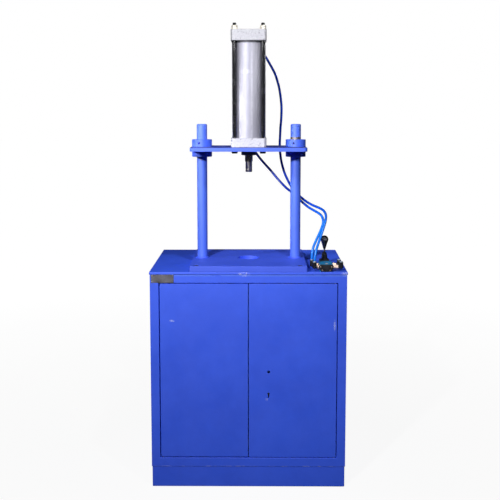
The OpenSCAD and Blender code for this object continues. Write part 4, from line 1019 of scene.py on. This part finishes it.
# Fasteners: node, finish, sides of the head, head height, hole (sides, radius, depth), radius of
# the shank, the way the head points, chamfer, random turn and its seed; in mm and radians
FASTENERS = [
    ("base_bolts", "black_steel", 0, 12, (6, 5.77, 6), 6, "up", 1.0, 6.0, 3),
    ("base_washers", "zinc_steel", 0, 2.5, (48, 6.5, 9), 0, "up", 0.3, 0.0, 1),
    ("base_nuts", "zinc_steel", 6, 10, (48, 6, 20), 0, "up", 1.0, 6.0, 5),
    ("tie_rod_nuts", "nut_brass", 6, 12, (48, 5.75, 20), 0, "up", 1.0, 0.5, 4),
    ("mount_bolts", "black_steel", 6, 6.4, None, 5, "down", 0.8, 1.2, 2),
    ("mount_washers", "zinc_steel", 0, 1.6, (48, 5.5, 9), 0, "up", 0.2, 0.0, 1),
    ("valve_screws", "zinc_steel", 0, 3.5, (6, 1.73, 2.5), 2, "up", 0.3, 6.0, 7),
    ("end_plate_screws", "brass", 0, 1.2, (6, 1.27, 0.8), 1.5, "front", 0.35, 6.0, 9),
    ("nameplate_rivets", "zinc_steel", 0, 0.5, None, 1.5, "front", 0.3, 0.0, 1),
]
POINTING = {"up": (0.0, 0.0, 0.0), "down": (math.pi, 0.0, 0.0), "front": (math.pi / 2, 0.0, 0.0)}


def make_fasteners(looks):
    """All the fasteners that stand along an axis, each where its solid is."""
    tree = fastener_tree()
    for node, look, sides, height, hole, shank, way, chamfer, turn, seed in FASTENERS:
        boxes = islands(node)
        size = boxes[0][1] - boxes[0][0]
        height *= MM
        # A hexagon's box is as wide as its corners on one side and as its flats on the other
        hexagon = sides == 6
        radius = (size.x if way == "front" else max(size.x, size.y)) / 2
        flat = radius * (math.cos(math.pi / 6) if hexagon else 1)
        # Only the corners of a hexagon are trimmed, hardly at all at its foot
        top_cut, foot_cut = (0.4 * chamfer, 0.1) if hexagon else (chamfer, 0.3 * chamfer)
        axis = 1 if way == "front" else 2
        places = []
        for low, high in boxes:
            place = (low + high) / 2
            place[axis] = high[axis] - height if way == "up" else low[axis] + height
            places.append(place)
        sizes = {"Hexagon": hexagon, "HeadRadius": radius, "HeadHeight": height,
                 "TopRadius": flat - top_cut * MM, "FootRadius": flat - foot_cut * MM,
                 "Hole": hole is not None, "Shank": shank > 0, "Axis": POINTING[way],
                 "Turn": turn, "Seed": seed}
        if hole:
            sizes.update(HoleSides=hole[0], HoleRadius=hole[1] * MM, HoleDepth=hole[2] * MM)
        if shank:
            sizes.update(ShankRadius=shank * MM, ShankLength=high[axis] - low[axis] - height)
        piece = grown(node + "_finished", tree, places, looks[look], **sizes)
        seat(eased(piece, min(0.25 * MM, height / 8)), node)


def make_collar_screws(looks):
    """Grub screws in the clamp collars, turned a little to the left of the front."""
    turn, length = math.radians(-14), 10 * MM
    ahead = Vector((math.sin(turn), -math.cos(turn), 0))
    places = [(low + high) / 2 - ahead * (length / 2) for low, high in islands("collar_screws")]
    piece = grown("collar_screws_finished", fastener_tree(), places, looks["black_steel"],
                  Hexagon=False, HeadRadius=3.25 * MM, HeadHeight=0.55 * length,
                  TopRadius=2.6 * MM, FootRadius=3.0 * MM, Hole=True, HoleSides=6,
                  HoleRadius=1.73 * MM, HoleDepth=3 * MM, Shank=False,
                  Axis=(math.pi / 2, 0.0, turn), Turn=1.0, Seed=2)
    seat(eased(piece, 0.15 * MM), "collar_screws")


def make_rods(looks):
    """The tie rods, threaded where their nuts are, and the piston rod with its threaded end."""
    tree = threaded_bar_tree()
    shape = {"Pitch": 1.5 * MM, "Depth": 0.7 * MM, "Chamfer": 1.5 * MM}
    boxes = islands("tie_rods")
    places = [((low.x + high.x) / 2, (low.y + high.y) / 2, low.z) for low, high in boxes]
    low, high = boxes[0]
    thread = high.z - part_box("tie_rod_nuts")[0].z + 4 * MM
    piece = grown("tie_rods_finished", tree, places, looks["rod_black"],
                  Radius=(high.x - low.x) / 2, PlainLength=high.z - low.z - thread,
                  ThreadLength=thread, Rings=100, **shape)
    seat(level_normals(piece), "tie_rods")
    r, h, (x, y, foot) = upright("piston_rod")
    thread, thread_r, spigot, overlap = 34 * MM, 11 * MM, 9 * MM, 1 * MM
    shoulder = foot + thread
    end = grown("rod_thread", tree, [(x, y, shoulder + overlap)], looks["rod_chrome"],
                Radius=thread_r, PlainLength=2 * overlap, ThreadLength=thread - overlap,
                Rings=132, Axis=POINTING["down"], **shape)
    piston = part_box("piston")[0].z - shoulder
    top = h - thread
    profile = [(0, 0), (r, 0), (r, piston), (spigot, piston), (spigot, top), (0, top)]
    bar = turned("rod_bar", soft_profile(profile, 0.8 * MM), (x, y, shoulder),
                 looks["rod_chrome"], 64)
    seat(joined("piston_rod_finished", [bar, end], looks["rod_chrome"]), "piston_rod")


def make_welds(looks):
    """The bead round the foot of each column."""
    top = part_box("base_plate")[1].z
    r = upright("left_column")[0]
    places = [((low.x + high.x) / 2, (low.y + high.y) / 2, top)
              for low, high in islands("column_welds")]
    piece = grown("column_welds_finished", weld_tree(), places, looks["plate_enamel"],
                  Radius=r + 0.8 * MM, Bead=3.9 * MM, Ripples=46, Height=0.5 * MM)
    seat(level_normals(piece), "column_welds")


def dress_cad_nodes(looks):
    """The nodes that stay as they are take the finish of their slot."""
    for piece in NODES.values():
        if piece.hide_render or not piece.data.materials:
            continue
        slot = piece.data.materials[0].name
        piece.material_slots[0].link = "OBJECT"
        piece.material_slots[0].material = looks[slot]


def main():
    bpy.context.scene.view_settings.view_transform = "Standard"
    make_camera()
    make_lamps()
    make_room(fill=(0.008, 0.02), mirrored=(0.02, 0.012))
    make_floor(seen=0.92, mirrored=0.03)
    looks = make_looks()
    make_air_tube("upper_air_tube", UPPER_TUBE_ROUTE, looks["blue_tube"])
    make_air_tube("lower_air_tube", LOWER_TUBE_ROUTE, looks["blue_tube"])
    for make in (make_rounded_pieces, make_columns, make_barrel, make_knob, make_boot,
                 make_fasteners, make_collar_screws, make_rods, make_welds, dress_cad_nodes):
        make(looks)


main()
